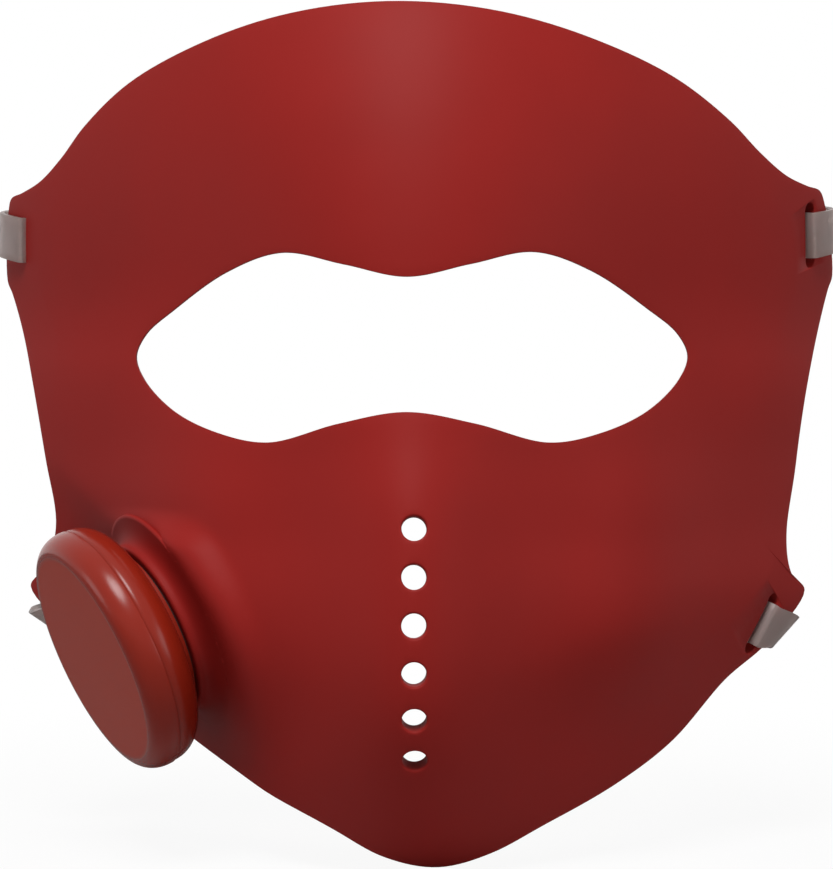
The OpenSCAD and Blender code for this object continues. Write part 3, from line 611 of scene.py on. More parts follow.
def tab_frame(i):
    """Frame at a slot, with X over the bar, Y along the slot and Z out of the face.

    With it come the width of the bar and the direction of its outer edge.
    """
    side = math.copysign(1, i)
    upper = abs(i) < lower_tab
    lean = upper_lean if upper else lower_lean
    edge = (edge_at(i - index_step) - edge_at(i + index_step)).normalized() * side
    p = edge_at(i) + side * Vector((-edge.y, edge.x)) * (upper_inset if upper else lower_inset)
    run = Vector((side * math.sin(lean), math.cos(lean)))
    rise = (face_y(*(p + run * step)) - face_y(*(p - run * step))) / (2 * step)
    up = Vector((run.x, rise, run.y)).normalized()
    out = face_out(*p)
    across = side * up.cross(out).normalized()
    edge_way = (face_point(edge_at(i - bar_reach)) - face_point(edge_at(i + bar_reach))).normalized()
    edge_way *= math.copysign(1, edge_way.dot(up))
    bar = 0
    for k in range(-bar_search, bar_search + 1):
        d = face_point(edge_at(i + index_step * k)) - face_point(p)
        if abs(d.dot(up) - strap_skew[abs(i)]) < strap_width / 2 + bar_margin:
            bar = max(bar, (d - edge_way * d.dot(up) / edge_way.dot(up)).dot(across))
    return frame_at(face_point(p), across, up, out), bar, edge_way


def slot_cutter(i):
    bm = flared_cutter(slot_gap / 2, slot_flare)
    for v in bm.verts:
        v.co.y += math.copysign((slot_length - slot_gap) / 2, v.co.y)
    return placed(bm, tab_frame(i)[0])


tabs = [upper_tab, -upper_tab, lower_tab, -lower_tab]
for i in tabs:
    print("slot at", tuple(round(c / mm, 1) for c in tab_frame(i)[0].translation))

# %% [markdown]
# The neck of the pod passes through a hole in a thick pad. A low lip stands up round it, and flows
# into the cheek in a hollow curve. The lip is spun round the pod's axis and joined to the shell.

# %% Lip, pad and hole of the neck
neck_r = 17.3 * mm
neck_hole_r = 17.4 * mm
pad_r = 23.5 * mm
lip_r = 20.8 * mm
lip_height = 4 * mm
lip_edge = 0.8 * mm
# The lip's outer flank runs out into the cheek in a wide hollow curve: its width and height
flank = (6.2 * mm, 3 * mm)
flank_root = 1 * mm
sunk = 0.02 * mm
neck_steps = 128


def pod_cylinder(radius, low, high):
    return placed(cylinder(radius, low, high, neck_steps), pod_frame)


def neck_collar():
    inner = lip_edge / 2
    flank_end = lip_r + flank[0]
    profile = [(neck_hole_r, -wall), (pad_r, -wall), (pad_r, -flank_root), (flank_end, -flank_root)]
    profile += arc((flank_end, flank[1] - sunk), flank, 270, 180, 12)
    profile += arc((lip_r - lip_edge, lip_height - lip_edge), (lip_edge, lip_edge), 0, 90)
    profile += arc((neck_hole_r + inner, lip_height - inner), (inner, inner), 90, 180, 4)
    return placed(turned(profile, neck_steps, closed=True), pod_frame)


cut(shell, as_one(*(vent_cutter(p) for p in vent_places()), *(slot_cutter(i) for i in tabs)))
cut(shell, pod_cylinder(neck_hole_r + lip_edge, -3 * wall, 2 * wall))
shell_bm = neck_collar()
shell_bm.from_mesh(shell.data)
shell_bm.to_mesh(shell.data)
shell_bm.free()
finish_piece(shell, "mask", "red_silicone", "outer_shell")

# %% [markdown]
# ## Liner and circuits
#
# Behind the skin lie thin amber circuits with rows of lights, and a clear liner closes the pocket.
# They follow the same spokes as the shell at greater depths, so the same grid makes them too. The
# pod's pad passes through all of them, and a cylinder makes that hole.

# %% Layers behind the skin
fit = 0.05 * mm
liner_inset = pocket_step + fit
liner_hole_r = 24.3 * mm
circuit_hole_r = 25 * mm
circuit_top = skin + fit
circuit_thickness = 0.2 * mm
layer_spokes_per_step = 6


def layer(name, first, last, rings, depth, thickness, hole_r, slot, node):
    """A sheet behind the skin, from one step to another and at a depth behind the face."""
    count = (last - first) * layer_spokes_per_step
    spokes = [first + k / layer_spokes_per_step for k in range(count + 1)]
    ring_lists = [[(*ring(i), depth + thickness) for ring in rings] for i in spokes]
    obj = make_object(name, laid_grid(spokes, ring_lists, depth))
    if hole_r:
        cut(obj, pod_cylinder(hole_r, -3 * wall, wall))
    return finish_piece(obj, "mask", slot, node)


def ring_at(share, inset=0):
    return lambda i: (border + inset, edge_border(i) + inset, share)


liner_rings = [ring_at(s, liner_inset) for s in [0, *shares, 1]]
liner_place = (-pocket_end, pocket_end, liner_rings, wall - liner, liner, liner_hole_r)
liner_piece = layer("clear_liner", *liner_place, "clear_liner", "inner_liner")

# %% Circuits
# A circuit stays clear of both edges by one share out of thirteen
circuit_shares = 12
circuit_rows = 30
first_share = 1 / (circuit_shares + 1)
share_run = (circuit_shares - 1) / (circuit_shares + 1)
circuit_rings = [ring_at(first_share + share_run * k / circuit_rows) for k in range(circuit_rows + 1)]
# The solid that a film stands for, its first and last step, and its hole
circuit_areas = [
    ("forehead_circuit", -9, 9, 0),
    ("left_cheek_circuit", -22, -13, circuit_hole_r),
    ("right_cheek_circuit", 13, 22, 0),
]


def circuit(node, first, last, hole_r):
    place = (first, last, circuit_rings, circuit_top, circuit_thickness, hole_r)
    return layer(node + "_film", *place, "amber_film", node)


circuits = [circuit(*area) for area in circuit_areas]

# %% [markdown]
# ## Lights
#
# Each light is a small square package with a low round lens that looks at the wearer. One is made,
# and copies of it are put on the face at the depth of the circuits. The lens has a material of its
# own, so its faces are marked before the copies are joined.

# %% One light, and rows of them
led = (2 * mm, 2 * mm, 0.45 * mm)
led_depth = 2.36 * mm
led_clear = 14 * mm
led_shares = (0.22, 0.5, 0.78)
led_edge = 0.08 * mm
led_segments = 2
lens_r = 0.72 * mm
lens_height = 0.1 * mm


def light_at(p):
    bm = bmesh.new()
    box = Matrix.Translation((0, 0, -led[2] / 2)) @ Matrix.Diagonal((*led, 1))
    bmesh.ops.create_cube(bm, size=1, matrix=box)
    bevel(bm, bm.edges[:], led_edge, led_segments)
    dome = Matrix.Translation((0, 0, -led[2])) @ Matrix.Diagonal((lens_r, lens_r, lens_height, 1))
    lens = bmesh.ops.create_uvsphere(bm, u_segments=16, v_segments=6, radius=1, matrix=dome)
    for face in {face for v in lens["verts"] for face in v.link_faces}:
        face.material_index = 1
    return placed(bm, on_face(p, led_depth))


def clear_of_pod(p):
    return (face_point(p) - seat).length > circuit_hole_r + led_clear


def light_rows(name, spokes, node):
    places = [spoke_point(i, border, edge_border(i), s) for i in spokes for s in led_shares]
    obj = make_object(name, as_one(*(light_at(p) for p in places if clear_of_pod(p))))
    return finish_piece(obj, "mask", "lamp", node)


lights = [
    light_rows("forehead_lights", range(-8, 9, 2), "forehead_leds"),
    light_rows("left_cheek_lights", range(-21, -13, 2), "left_cheek_leds"),
    light_rows("right_cheek_lights", range(14, 22, 2), "right_cheek_leds"),
]

# %% [markdown]
# ## The pod
#
# The pod has two plastic shells. The rear one is a bowl with a neck. The front one is a cap whose
# whole face is the power button. Both are spun round the pod's axis from profiles with fine arcs,
# so the polished rim shows one clean highlight.

# %% Pod values
pod_r = 29.4 * mm
face_r = 25.35 * mm
pod_wall = 1.8 * mm
inner_r = pod_r - pod_wall
neck_inner_r = neck_r - pod_wall
pod_height = 13.2 * mm
cap_height = 7.3 * mm
cap_gap = 0.32 * mm
rear_face_r = 22 * mm
rear_face_z = 6.5 * mm
rear_depth = pod_height - rear_face_z
floor_z = rear_face_z + pod_wall
parting_z = pod_height + 1.6 * mm
cap_z = parting_z + cap_gap
cap_depth = pod_height + cap_height - cap_z
cap_inner_z = pod_height + cap_height - pod_wall
shoulder_r = 19.6 * mm
shoulder_z = lip_height + 0.5 * mm
edge_round = 0.15 * mm
# A thin lip on the cap's rim hangs down outside the bowl: its wall, its drop and its room
seam_wall = 0.2 * mm
seam_drop = 0.5 * mm
seam_room = 0.03 * mm
seam_round = 0.09 * mm
bowl_r = pod_r - seam_wall - seam_room
pod_steps = 160


def pod_piece(name, profile, closed=False):
    return make_object(name, placed(turned(profile, pod_steps, closed), pod_frame))


# %% [markdown]
# The gap between the cap and the bowl has to leave room for the button's travel, but a deep groove
# would look black. A thin lip on the cap's rim hangs down outside the bowl and slides along it, so
# that only its fine rounded edge shows. Inside, the cap has a skirt that guides it.

# %% Cap
skirt_room = 0.3 * mm
skirt_wall = 1.3 * mm
skirt_drop = 0.3 * mm
skirt_root = 1.4 * mm
dome_inset = 6 * mm
skirt_r = inner_r - skirt_room
skirt_inner_r = skirt_r - skirt_wall
skirt_low = pod_height - skirt_drop
seam_inner_r = pod_r - seam_wall
seam_low = parting_z - seam_drop
dome_r = face_r - dome_inset
dome = (skirt_inner_r - dome_r, cap_inner_z - cap_z - skirt_root)

cap_profile = [(0, pod_height + cap_height)]
cap_profile += arc((face_r, cap_z), (pod_r - face_r, cap_depth), 90, 0, 20)
cap_profile += arc((pod_r - seam_round, seam_low + seam_round), (seam_round, seam_round), 0, -90, 4)
cap_profile += [(seam_inner_r, seam_low), (seam_inner_r, cap_z)]
cap_profile += [(skirt_r, cap_z), (skirt_r, skirt_low)]
cap_profile += [(skirt_inner_r, skirt_low), (skirt_inner_r, cap_z + skirt_root)]
cap_profile += arc((dome_r, cap_z + skirt_root), dome, 0, 90)[1:]
cap_profile += [(0, cap_inner_z)]
cap = pod_piece("button_cap", cap_profile)
finish_piece(cap, "power_button", "red_plastic", "power_cap")

# %% [markdown]
# The rear shell is one wall from the neck to the parting line, so its profile is a closed loop. A
# cylinder that lies on its side and is pulled apart cuts the opening for the charging plug. On the
# wearer's side a flat dish with a rounded rim covers the clamp.

# %% Rear shell
rear_wall = (inner_r - rear_face_r, rear_depth - pod_wall)
rear_corner = (edge_round, edge_round)
rear_profile = [(neck_inner_r, fit - wall), (neck_r, fit - wall), (neck_r, shoulder_z)]
rear_profile += arc((shoulder_r - edge_round, shoulder_z + edge_round), rear_corner, -90, 0, 4)
rear_profile += arc((shoulder_r + edge_round, rear_face_z - edge_round), rear_corner, 180, 90, 4)
rear_profile += arc((rear_face_r, pod_height), (bowl_r - rear_face_r, rear_depth), -90, 0, 20)
rear_profile += [(bowl_r, parting_z), (inner_r, parting_z), (inner_r, pod_height)]
rear_profile += arc((rear_face_r, pod_height), rear_wall, 0, -90, 12)[1:]
rear_profile += [(neck_inner_r, floor_z)]
rear = pod_piece("pod_bowl", rear_profile, closed=True)

# %% Opening for the plug
socket_width = 8.94 * mm
socket_height = 3.16 * mm
socket_gap = 0.25 * mm
board_thickness = 1 * mm
socket_z = pod_height - board_thickness - fit - socket_height / 2
opening_r = socket_height / 2 + socket_gap
# The cutter's ends, outside the bowl and inside it
opening_reach = (-34 * mm, -22 * mm)
opening_steps = 32
opening = cylinder(opening_r, *opening_reach, opening_steps, turn=math.pi / opening_steps)
lying = Matrix.Rotation(-math.pi / 2, 3, "X")
bmesh.ops.rotate(opening, cent=(0, 0, 0), matrix=lying, verts=opening.verts)
for v in opening.verts:
    v.co.x += math.copysign((socket_width - socket_height) / 2, v.co.x)
cut(rear, placed(opening, pod_frame @ Matrix.Translation((0, 0, socket_z))))
finish_piece(rear, "mask", "red_plastic", "pod_rear_shell")

# %% Inner cover
clamp_z = -wall - fit
cover_r = 23.3 * mm
cover_round = 1 * mm
cover_wall = 1.2 * mm
cover_depth = 3.6 * mm
cover_back = clamp_z - cover_depth
cover_inner_r = cover_r - cover_wall
cover_inner_z = cover_back + cover_wall
cover_corner = (cover_round, cover_round)
cover_profile = [(0, cover_back)]
cover_profile += arc((cover_r - cover_round, cover_back + cover_round), cover_corner, -90, 0)
cover_profile += [(cover_r, clamp_z), (cover_inner_r, clamp_z)]
cover_profile += [(cover_inner_r, cover_inner_z), (0, cover_inner_z)]
cover = pod_piece("inner_cover", cover_profile)
finish_piece(cover, "mask", "red_plastic", "pod_inner_cover")

# %% [markdown]
# ## The straps
#
# Each strap is one flat clear band. Its ends go round the outer bar of a tab, through the slot and
# back on themselves, where a stud with two low round heads holds them. The band's middle line is a
# smooth curve through frames at the tab and along the head, and the band is a grid laid out on that
# line. Solidify gives it thickness, and a narrow bevel softens its edges as moulding does.

# %% Path of a strap
strap_thickness = 1.1 * mm
head_depth = 198 * mm
# Room between a band and the bar, in front of it and behind it
bar_room = (0.5 * mm, 2.6 * mm)
strap_lift = bar_room[0] + strap_thickness / 2
strap_under = wall + bar_room[1] + strap_thickness / 2
strap_fold_gap = 0.2 * mm
strap_back = {upper_tab: 46 * mm, lower_tab: -32 * mm}
# Where a strap leaves the bar on its way round the head: outwards past the bar, and out of the face
strap_start = (0.8 * mm, -strap_under)
loop_past_bar = [(3.6 * mm, -2.5 * mm), (2.4 * mm, -0.5 * mm), (0.2 * mm, strap_lift)]
loop_in_slot = [
    (1 * mm, strap_lift), (0.15 * mm, 0.75 * mm), (-0.1 * mm, 0), (-0.1 * mm, -wall),
    (0.15 * mm, 0.3 * mm - strap_under), (1 * mm, -strap_under),
]
tail_places = [0.095, 0.075, 0.055, 0.035]
head_places = [0.05, 0.075, 0.12, 0.19, 0.27, 0.36, 0.46, 0.57, 0.68, 0.79, 0.9]
stud_place = 0.075
hole_places = [0.12, 0.145, 0.17, 0.195]
quarter_turn = 1.66
strap_drop = 0.25
strap_step = 0.005
# Share of the way at which a strap stands upright
strap_upright = 0.4
stud_r = 1.5 * mm


def loop_point(i, p):
    return tab_frame(i)[0] @ Vector((p[0], 0, p[1]))


def past_bar(i, p):
    at, bar, edge_way = tab_frame(i)
    return at @ Vector((bar + p[0], 0, p[1])) + strap_skew[abs(i)] * edge_way


def strap_base(i, t):
    p = past_bar(i, strap_start)
    away = tab_frame(i)[0].col[0]
    reach = quarter_turn * (head_depth - p.y)
    leave = Vector((0, reach, reach * strap_drop * away.z / away.y))
    middle = Vector((0, head_depth, strap_back[abs(i)]))
    return cubic(p, leave, middle, Vector((-quarter_turn * p.x, 0, 0)), t)


def strap_frame(i, t):
    """Frame on the strap: X along it, Y across it, Z out of it."""
    base = strap_base(i, t)
    way = (strap_base(i, t + strap_step) - base).normalized()
    upright = smooth(0, strap_upright, t)
    lean = tab_frame(i)[2] * (1 - upright) + Vector((0, 0, 1)) * upright
    up = (lean - lean.dot(way) * way).normalized()
    return frame_at(base, way, up, math.copysign(1, base.x) * way.cross(up))


def strap_half(i):
    """Rows of one half, from the tail to the back of the head: place and way across the band."""
    at, _, edge_way = tab_frame(i)
    lift = strap_thickness + strap_fold_gap
    tails = [strap_frame(i, t) for t in tail_places]
    heads = [strap_frame(i, t) for t in head_places]
    rows = [(f.translation + lift * f.col[2].xyz, f.col[1].xyz) for f in tails]
    rows += [(past_bar(i, p), edge_way) for p in loop_past_bar]
    rows += [(loop_point(i, p), at.col[1].xyz) for p in loop_in_slot]
    rows += [(past_bar(i, strap_start), edge_way)]
    return rows + [(f.translation, f.col[1].xyz) for f in heads]


# %% Lay the band on its path
steps_per_span = 6
cells_across = 6
strap_edge = 0.25 * mm
strap_edge_angle = math.radians(50)
# The cutter of a strap hole reaches this far under and over the band's middle
hole_reach = (-2 * mm, 3 * mm)
hole_steps = 32


def smooth_rows(rows):
    """Rows at close steps on a smooth curve through the given ones."""
    before = tuple(2 * a - b for a, b in zip(rows[0], rows[1]))
    after = tuple(2 * a - b for a, b in zip(rows[-1], rows[-2]))
    rows = [before, *rows, after]
    fine = []
    for k in range(1, len(rows) - 2):
        around = rows[k - 1:k + 3]
        for n in range(steps_per_span):
            t = n / steps_per_span
            place = curve(*(row[0] for row in around), t)
            fine.append((place, rows[k][1].lerp(rows[k + 1][1], t).normalized()))
    return fine + [rows[-2]]


def strap_band(name, i, node):
    middle = (Vector((0, head_depth, strap_back[i])), Vector((0, 0, 1)))
    rows = smooth_rows(strap_half(-i) + [middle] + strap_half(i)[::-1])
    bm = bmesh.new()
    bmesh.ops.create_grid(bm, x_segments=len(rows) - 1, y_segments=cells_across, size=0.5)
    for v in bm.verts:
        place, across = rows[round((v.co.x + 0.5) * (len(rows) - 1))]
        v.co = place + across * strap_width * v.co.y
    obj = make_object(name, bm)
    thicken = obj.modifiers.new("thickness", "SOLIDIFY")
    thicken.thickness = strap_thickness
    thicken.offset = 0
    applied(obj)
    holes = [
        placed(cylinder(stud_r + fit, *hole_reach, hole_steps), strap_frame(side, t))
        for side in (-i, i)
        for t in [stud_place, *hole_places]
    ]
    cut(obj, as_one(*holes))
    soften = obj.modifiers.new("edges", "BEVEL")
    soften.width = strap_edge
    soften.segments = 2
    soften.limit_method = "ANGLE"
    soften.angle_limit = strap_edge_angle
    applied(obj)
    return finish_piece(obj, "mask", "clear_strap", node)


straps = [
    strap_band("upper_band", upper_tab, "upper_strap"),
    strap_band("lower_band", lower_tab, "lower_strap"),
]

# %% Snap studs
stud_room = 6 * fit
stud_reach = strap_thickness / 2 + stud_room
stud_top = stud_reach + strap_thickness + strap_fold_gap
stud_head_r = 2.6 * mm
stud_head = 0.8 * mm
stud_rim = (0.5 * mm, stud_head / 2)
stud_rim_r = stud_head_r - stud_rim[0]
stud_steps = 40
stud_profile = [(0, -stud_reach - stud_head)]
stud_profile += arc((stud_rim_r, -stud_reach - stud_rim[1]), stud_rim, -90, 90)
stud_profile += [(stud_r, -stud_reach), (stud_r, stud_top)]
stud_profile += arc((stud_rim_r, stud_top + stud_rim[1]), stud_rim, -90, 90)
stud_profile += [(0, stud_top + stud_head)]


def stud_piece(name, i, node):
    frames = [strap_frame(side, stud_place) for side in (-i, i)]
    halves = [placed(turned(stud_profile, stud_steps), frame_on_strap) for frame_on_strap in frames]
    return finish_piece(make_object(name, as_one(*halves)), "mask", "clear_strap", node)


studs = [
    stud_piece("upper_studs", upper_tab, "upper_strap_studs"),
    stud_piece("lower_studs", lower_tab, "lower_strap_studs"),
]

# %% [markdown]
# ## Shader maths in plain expressions
#
# A material is a small program. Wrapping a socket in a class with the usual operators lets the
# program be read as sums: each operator adds one Math node. Everything else is added by one method
# that takes the node's type, its settings and the values of its sockets.

# %% Sockets as values
class Value:
    """An output socket, and the tree that its sums are added to."""

    def __init__(self, tree, socket):
        self.tree = tree
        self.socket = socket

    def maths(self, operation, *others):
        return self.tree.add("ShaderNodeMath", {"operation": operation}, dict(enumerate(others)))

    def __add__(self, other):
        return self.maths("ADD", self, other)

    def __sub__(self, other):
        return self.maths("SUBTRACT", self, other)

    def __mul__(self, other):
        return self.maths("MULTIPLY", self, other)

    def __rsub__(self, other):
        return self.maths("SUBTRACT", other, self)

    __radd__ = __add__
    __rmul__ = __mul__

    def above(self, limit):
        return self.maths("GREATER_THAN", self, limit)

    def below(self, limit):
        return self.maths("LESS_THAN", self, limit)

    def eased(self, low, high):
        """0 below low, 1 above high and smooth between them."""
        settings = {"interpolation_type": "SMOOTHSTEP"}
        inputs = {"Value": self, "From Min": low, "From Max": high}
        return self.tree.add("ShaderNodeMapRange", settings, inputs)


class Tree:
    """A node tree of a material or of the world."""

    def __init__(self, node_tree):
        self.links = node_tree.links
        self.nodes = node_tree.nodes

    def set(self, node, inputs):
        for key, value in inputs.items():
            if isinstance(value, Value):
                self.links.new(value.socket, node.inputs[key])
            else:
                node.inputs[key].default_value = value

    def add(self, kind, settings=None, inputs=None, output=0):
        node = self.nodes.new(kind)
        for key, value in (settings or {}).items():
            setattr(node, key, value)
        self.set(node, inputs or {})
        return Value(self, node.outputs[output])

    def show(self, surface, output_name):
        self.set(self.nodes[output_name], {"Surface": surface})


class Recipe(Tree):
    """A material with a Principled shader, whose sockets are given with _ for each space."""

    def __init__(self, name, **constants):
        self.material = bpy.data.materials.new(name)
        self.material.use_nodes = True
        super().__init__(self.material.node_tree)
        self.surface = self.nodes["Principled BSDF"]
        self.finish(**constants)

    def place(self, turn_to=None):
        """Object coordinates, or those of a given frame."""
        coordinates = self.add("ShaderNodeTexCoord", output="Object")
        if turn_to is None:
            return coordinates
        back = turn_to.inverted()
        inputs = {"Vector": coordinates, "Location": back.translation, "Rotation": back.to_euler()}
        return self.add("ShaderNodeMapping", {"vector_type": "POINT"}, inputs)

    def noise(self, scale, detail=2, roughness=0.5):
        inputs = {"Vector": self.place(), "Scale": scale, "Detail": detail, "Roughness": roughness}
        return self.add("ShaderNodeTexNoise", {}, inputs)

    def cells(self, scale):
        """Distance from the nearest of many scattered points."""
        inputs = {"Vector": self.place(), "Scale": scale}
        return self.add("ShaderNodeTexVoronoi", {"feature": "F1"}, inputs, "Distance")

    def mixed(self, share, a, b):
        settings = {"data_type": "RGBA", "blend_type": "MIX"}
        return self.add("ShaderNodeMix", settings, {"Factor": share, 6: a, 7: b}, 2)

    def bump(self, height, distance, strength):
        inputs = {"Height": height, "Distance": distance, "Strength": strength}
        return self.add("ShaderNodeBump", {}, inputs)

    def finish(self, **surface):
        self.set(self.surface, {key.replace("_", " "): value for key, value in surface.items()})
        return self.material


def rgb(red, green, blue):
    """A colour as it is seen on a screen, made linear."""
    shares = [c / 255 for c in (red, green, blue)]
    return (*(s / 12.92 if s <= 0.04045 else ((s + 0.055) / 1.055) ** 2.4 for s in shares), 1)


def dress(material, *objects):
    for obj in objects:
        obj.data.materials.clear()
        obj.data.materials.append(material)


# %% [markdown]
# ## Silicone
#
# Moulded silicone is matte and deep in colour, and shows a soft sheen only where the light grazes
# it. Broad, faint patches keep it from looking like paint, a fine grain breaks up the highlight,
# and a few specks of dust cling to it as they always do.

# %% Red silicone
grain_height = 0.02 * mm
silicone = Recipe("red_silicone", Specular_IOR_Level=0.14)
patches = silicone.noise(14, 3, 0.55)
grain = silicone.noise(2600, 2, 0.6)
speck_size = silicone.noise(55, 1)
dust = silicone.cells(120).below(0.03) * speck_size.above(0.62)
colour = silicone.mixed(patches.eased(0.3, 0.7), rgb(136, 27, 23), rgb(144, 29, 25))
colour = silicone.mixed(dust * 0.35, colour, rgb(196, 130, 122))
silicone_material = silicone.finish(
    Base_Color=colour,
    Roughness=0.5 + patches * 0.12 + grain * 0.05,
    Normal=silicone.bump(grain, grain_height, 0.5),
)
dress(silicone_material, shell)

# %% [markdown]
# ## Pod plastic
#
# The pod is hard plastic in a slightly more orange red. The button's flat face has a fine etched
# texture, and the rounded rim is polished, so the roughness changes with the distance from the
# pod's axis. The flat face is also painted a lighter, paler red than the rim. That is painted light,
# for the light that falls on the face and the pale haze that its matte finish reflects.

# %% Red plastic
# Where the etching and the painted lighter colour fade out at the rim, and the height above which
# they lie
etched_and_painted_light_rim = (face_r - 1 * mm, face_r + 0.5 * mm)
etched_and_painted_light_above = pod_height + cap_height - 0.2 * mm
plastic = Recipe("red_plastic", Specular_IOR_Level=0.24)
spot = plastic.place(pod_frame)
out = plastic.add("ShaderNodeSeparateXYZ", {}, {"Vector": spot}, "Z")
from_axis = plastic.add("ShaderNodeVectorMath", {"operation": "MULTIPLY"}, {0: spot, 1: (1, 1, 0)})
radius = plastic.add("ShaderNodeVectorMath", {"operation": "LENGTH"}, {0: from_axis}, "Value")
flat = (1 - radius.eased(*etched_and_painted_light_rim)) * out.above(etched_and_painted_light_above)
etched = plastic.noise(3200, 2, 0.7)
patches = plastic.noise(30, 2)
colour = plastic.mixed(patches.eased(0.3, 0.7), rgb(132, 31, 16), rgb(140, 34, 18))
plastic_material = plastic.finish(
    # Painted light: the etched face gets a lighter, paler red than the rim, for the light on it and
    # its matte haze
    Base_Color=plastic.mixed(flat, colour, rgb(168, 58, 42)),
    Roughness=0.22 + flat * 0.3 + patches * 0.04,
    Normal=plastic.bump(etched * flat, grain_height, 0.4),
)
dress(plastic_material, cap, rear, cover)

# %% [markdown]
# ## Clear silicone
#
# Clear silicone bends light as glass does, but it is a little cloudy and warm. The straps and the
# liner share one recipe, and the liner is the clearer and smoother of the two.

# %% Clear silicone of the straps and the liner
def clear_silicone(name, pale, warm, see_through, roughness):
    clear = Recipe(name, IOR=1.41, Transmission_Weight=see_through, Specular_IOR_Level=0.4)
    cloud = clear.noise(90, 3, 0.6)
    grain = clear.noise(1500, 2, 0.6)
    return clear.finish(
        Base_Color=clear.mixed(cloud.eased(0.3, 0.7), pale, warm),
        Roughness=roughness + cloud * 0.1 + grain * 0.04,
        Normal=clear.bump(grain, grain_height, 0.4),
    )


strap_material = clear_silicone("clear_strap", rgb(200, 184, 180), rgb(190, 172, 166), 0.72, 0.3)
liner_material = clear_silicone("clear_liner", rgb(236, 226, 220), rgb(228, 214, 206), 0.9, 0.12)
dress(strap_material, *straps, *studs)
dress(liner_material, liner_piece)

# %% [markdown]
# ## Circuit film
#
# A flexible circuit is amber film with copper tracks. A wave texture gives the tracks, which are
# redder, shinier and slightly raised.

# %% Amber film with copper tracks
track_waves = {"Scale": 120, "Distortion": 1.5}
track_height = 0.03 * mm
film = Recipe("amber_film")
waves_at = {"Vector": film.place(), **track_waves}
waves = film.add("ShaderNodeTexWave", {"bands_direction": "Z"}, waves_at, "Fac")
tracks = waves.eased(0.62, 0.7)
film_material = film.finish(
    Base_Color=film.mixed(tracks, rgb(186, 122, 52), rgb(208, 132, 84)),
    Roughness=0.34 + film.noise(200, 2) * 0.1 - tracks * 0.08,
    Metallic=tracks * 0.35,
    Normal=film.bump(tracks, track_height, 0.4),
)
dress(film_material, *circuits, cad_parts["circuit_tail"])


# %% [markdown]
# ## Small hard parts
#
# The boards, screws and clips inside the pod are rarely seen, but each gets a finish of its own:
# moulded plastics with grain, solder-masked board, turned steel and rubber.

# %% Finishes of the hard parts
def grained(name, dark, light, roughness, grain_scale, **constants):
    recipe = Recipe(name, **constants)
    cloud = recipe.noise(grain_scale / 12, 3, 0.6)
    grain = recipe.noise(grain_scale, 2, 0.6)
    return recipe.finish(
        Base_Color=recipe.mixed(cloud.eased(0.3, 0.7), dark, light),
        Roughness=roughness + cloud * 0.12 + grain * 0.05,
        Normal=recipe.bump(grain, grain_height, 0.5),
    )


white_plastic = grained("white_plastic", rgb(226, 224, 218), rgb(238, 236, 230), 0.38, 1500)
lens_material = grained("lamp", rgb(214, 190, 96), rgb(232, 208, 118), 0.12, 1200)
green_board = grained("green_board", rgb(22, 84, 50), rgb(30, 100, 60), 0.3, 900)
black_plastic = grained("black_plastic", rgb(26, 26, 28), rgb(38, 38, 40), 0.42, 1500)
black_rubber = grained("black_rubber", rgb(22, 22, 23), rgb(32, 31, 31), 0.7, 1800)
steel = grained("steel", rgb(176, 178, 182), rgb(204, 206, 210), 0.28, 1400, Metallic=0.95)

# %% Dress the hard parts
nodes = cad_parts
finishes = [
    (white_plastic, ("switch_stem", "tail_connector", "battery_clip", "clamp_plate")),
    (green_board, ("main_board",)),
    (black_plastic, ("power_switch", "control_chips")),
    (black_rubber, ("neck_seal", "battery_pad")),
    (steel, ("board_screws", "clamp_screws", "charge_socket", "battery_cell")),
]
for material, names in finishes:
    dress(material, *(nodes[name] for name in names))
for piece in lights:
    piece.data.materials.append(white_plastic)
    piece.data.materials.append(lens_material)
print("dressed", sum(1 for n in nodes.values() if n.data.materials), "nodes")

# %% [markdown]
# ## Floor, light and background
#
# The mask stands just over a pale floor. A soft lamp in front, high up and a little to the left,
# models its curves. A weak one low on the left fills the shadows there, and one on the right puts a
# pale edge on that side. The background is white where it is seen straight, in a reflection or
# through something clear, but adds little light. The floor is nearly white to the camera.

# %% Floor
floor_r = 1.6
floor_gap = 1.5 * mm
# Share of plain white that the camera sees near the mask, and where the rest fades away
white_near = 0.93
white_fade = (0.15, 0.45)
floor_bm = bmesh.new()
bmesh.ops.create_circle(floor_bm, cap_ends=True, radius=floor_r, segments=96)
bmesh.ops.translate(floor_bm, vec=(0, 0, cad_box[0][2] - floor_gap), verts=floor_bm.verts)
floor = make_object("floor", floor_bm)

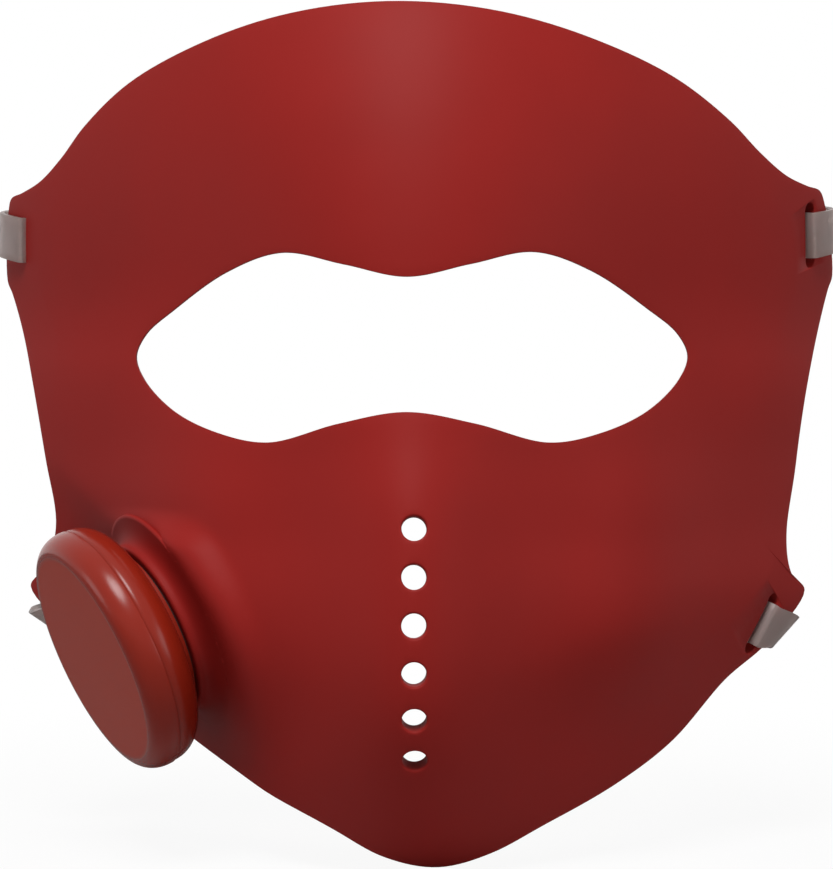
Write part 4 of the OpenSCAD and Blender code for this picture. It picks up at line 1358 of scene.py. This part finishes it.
# %% Floor material
paper = Recipe("pale_floor", Specular_IOR_Level=0.1)
fibres = paper.noise(400, 3, 0.6)
looked_at = paper.add("ShaderNodeLightPath", output="Is Camera Ray")
pale = paper.mixed(fibres, rgb(236, 236, 236), rgb(242, 242, 242))
paper.finish(
    Base_Color=paper.mixed(looked_at, rgb(186, 186, 186), pale),
    Roughness=0.85 + fibres * 0.1,
)
white = paper.add("ShaderNodeEmission", {}, {"Color": (1, 1, 1, 1), "Strength": 1})
from_mask = paper.add("ShaderNodeVectorMath", {"operation": "LENGTH"}, {0: paper.place()}, "Value")
shown_white = white_near + from_mask.eased(*white_fade) * (1 - white_near)
seen = looked_at * shown_white
lit = Value(paper, paper.surface.outputs[0])
paper.show(paper.add("ShaderNodeMixShader", {}, {0: seen, 1: lit, 2: white}), "Material Output")
dress(paper.material, floor)

# %% World
room_light = 0.1
world = bpy.data.worlds.new("studio")
scene.world = world
world.use_nodes = True
sky = Tree(world.node_tree)
sky.nodes.remove(sky.nodes["Background"])
room = sky.add("ShaderNodeBackground", {}, {"Color": (1, 1, 1, 1), "Strength": room_light})
backdrop = sky.add("ShaderNodeBackground", {}, {"Color": (1, 1, 1, 1), "Strength": 1})
straight, mirrored, through = (
    sky.add("ShaderNodeLightPath", output=kind)
    for kind in ("Is Camera Ray", "Is Glossy Ray", "Is Transmission Ray")
)
seen = straight.maths("MAXIMUM", straight, mirrored.maths("MAXIMUM", mirrored, through))
sky.show(sky.add("ShaderNodeMixShader", {}, {0: seen, 1: room, 2: backdrop}), "World Output")


# %% Lamps
lamp_aim = Vector((0, 30, -20)) * mm
lamp_distance = 1.3
lamp_size = 0.6


def area_lamp(name, turn, rise, power):
    """A soft lamp that stands a turn to the right of straight ahead of the mask, and a rise up."""
    turn = math.radians(turn)
    rise = math.radians(rise)
    way = Vector((math.sin(turn) * math.cos(rise), -math.cos(turn) * math.cos(rise), math.sin(rise)))
    data = bpy.data.lights.new(name, "AREA")
    data.shape = "DISK"
    data.size = lamp_size
    data.energy = power
    lamp = bpy.data.objects.new(name, data)
    lamp.location = lamp_aim + lamp_distance * way
    lamp.rotation_euler = (lamp_aim - lamp.location).to_track_quat("-Z", "Y").to_euler()
    scene.collection.objects.link(lamp)
    print(name, "lamp at", tuple(round(c, 2) for c in lamp.location))


area_lamp("key", -8, 52, 16)
area_lamp("fill", -76, 2, 2.2)
area_lamp("edge", 62, 10, 2.6)

# %% [markdown]
# ## Finish
#
# The picture keeps its plain colours.

# %% Finish
scene.view_settings.view_transform = "Standard"
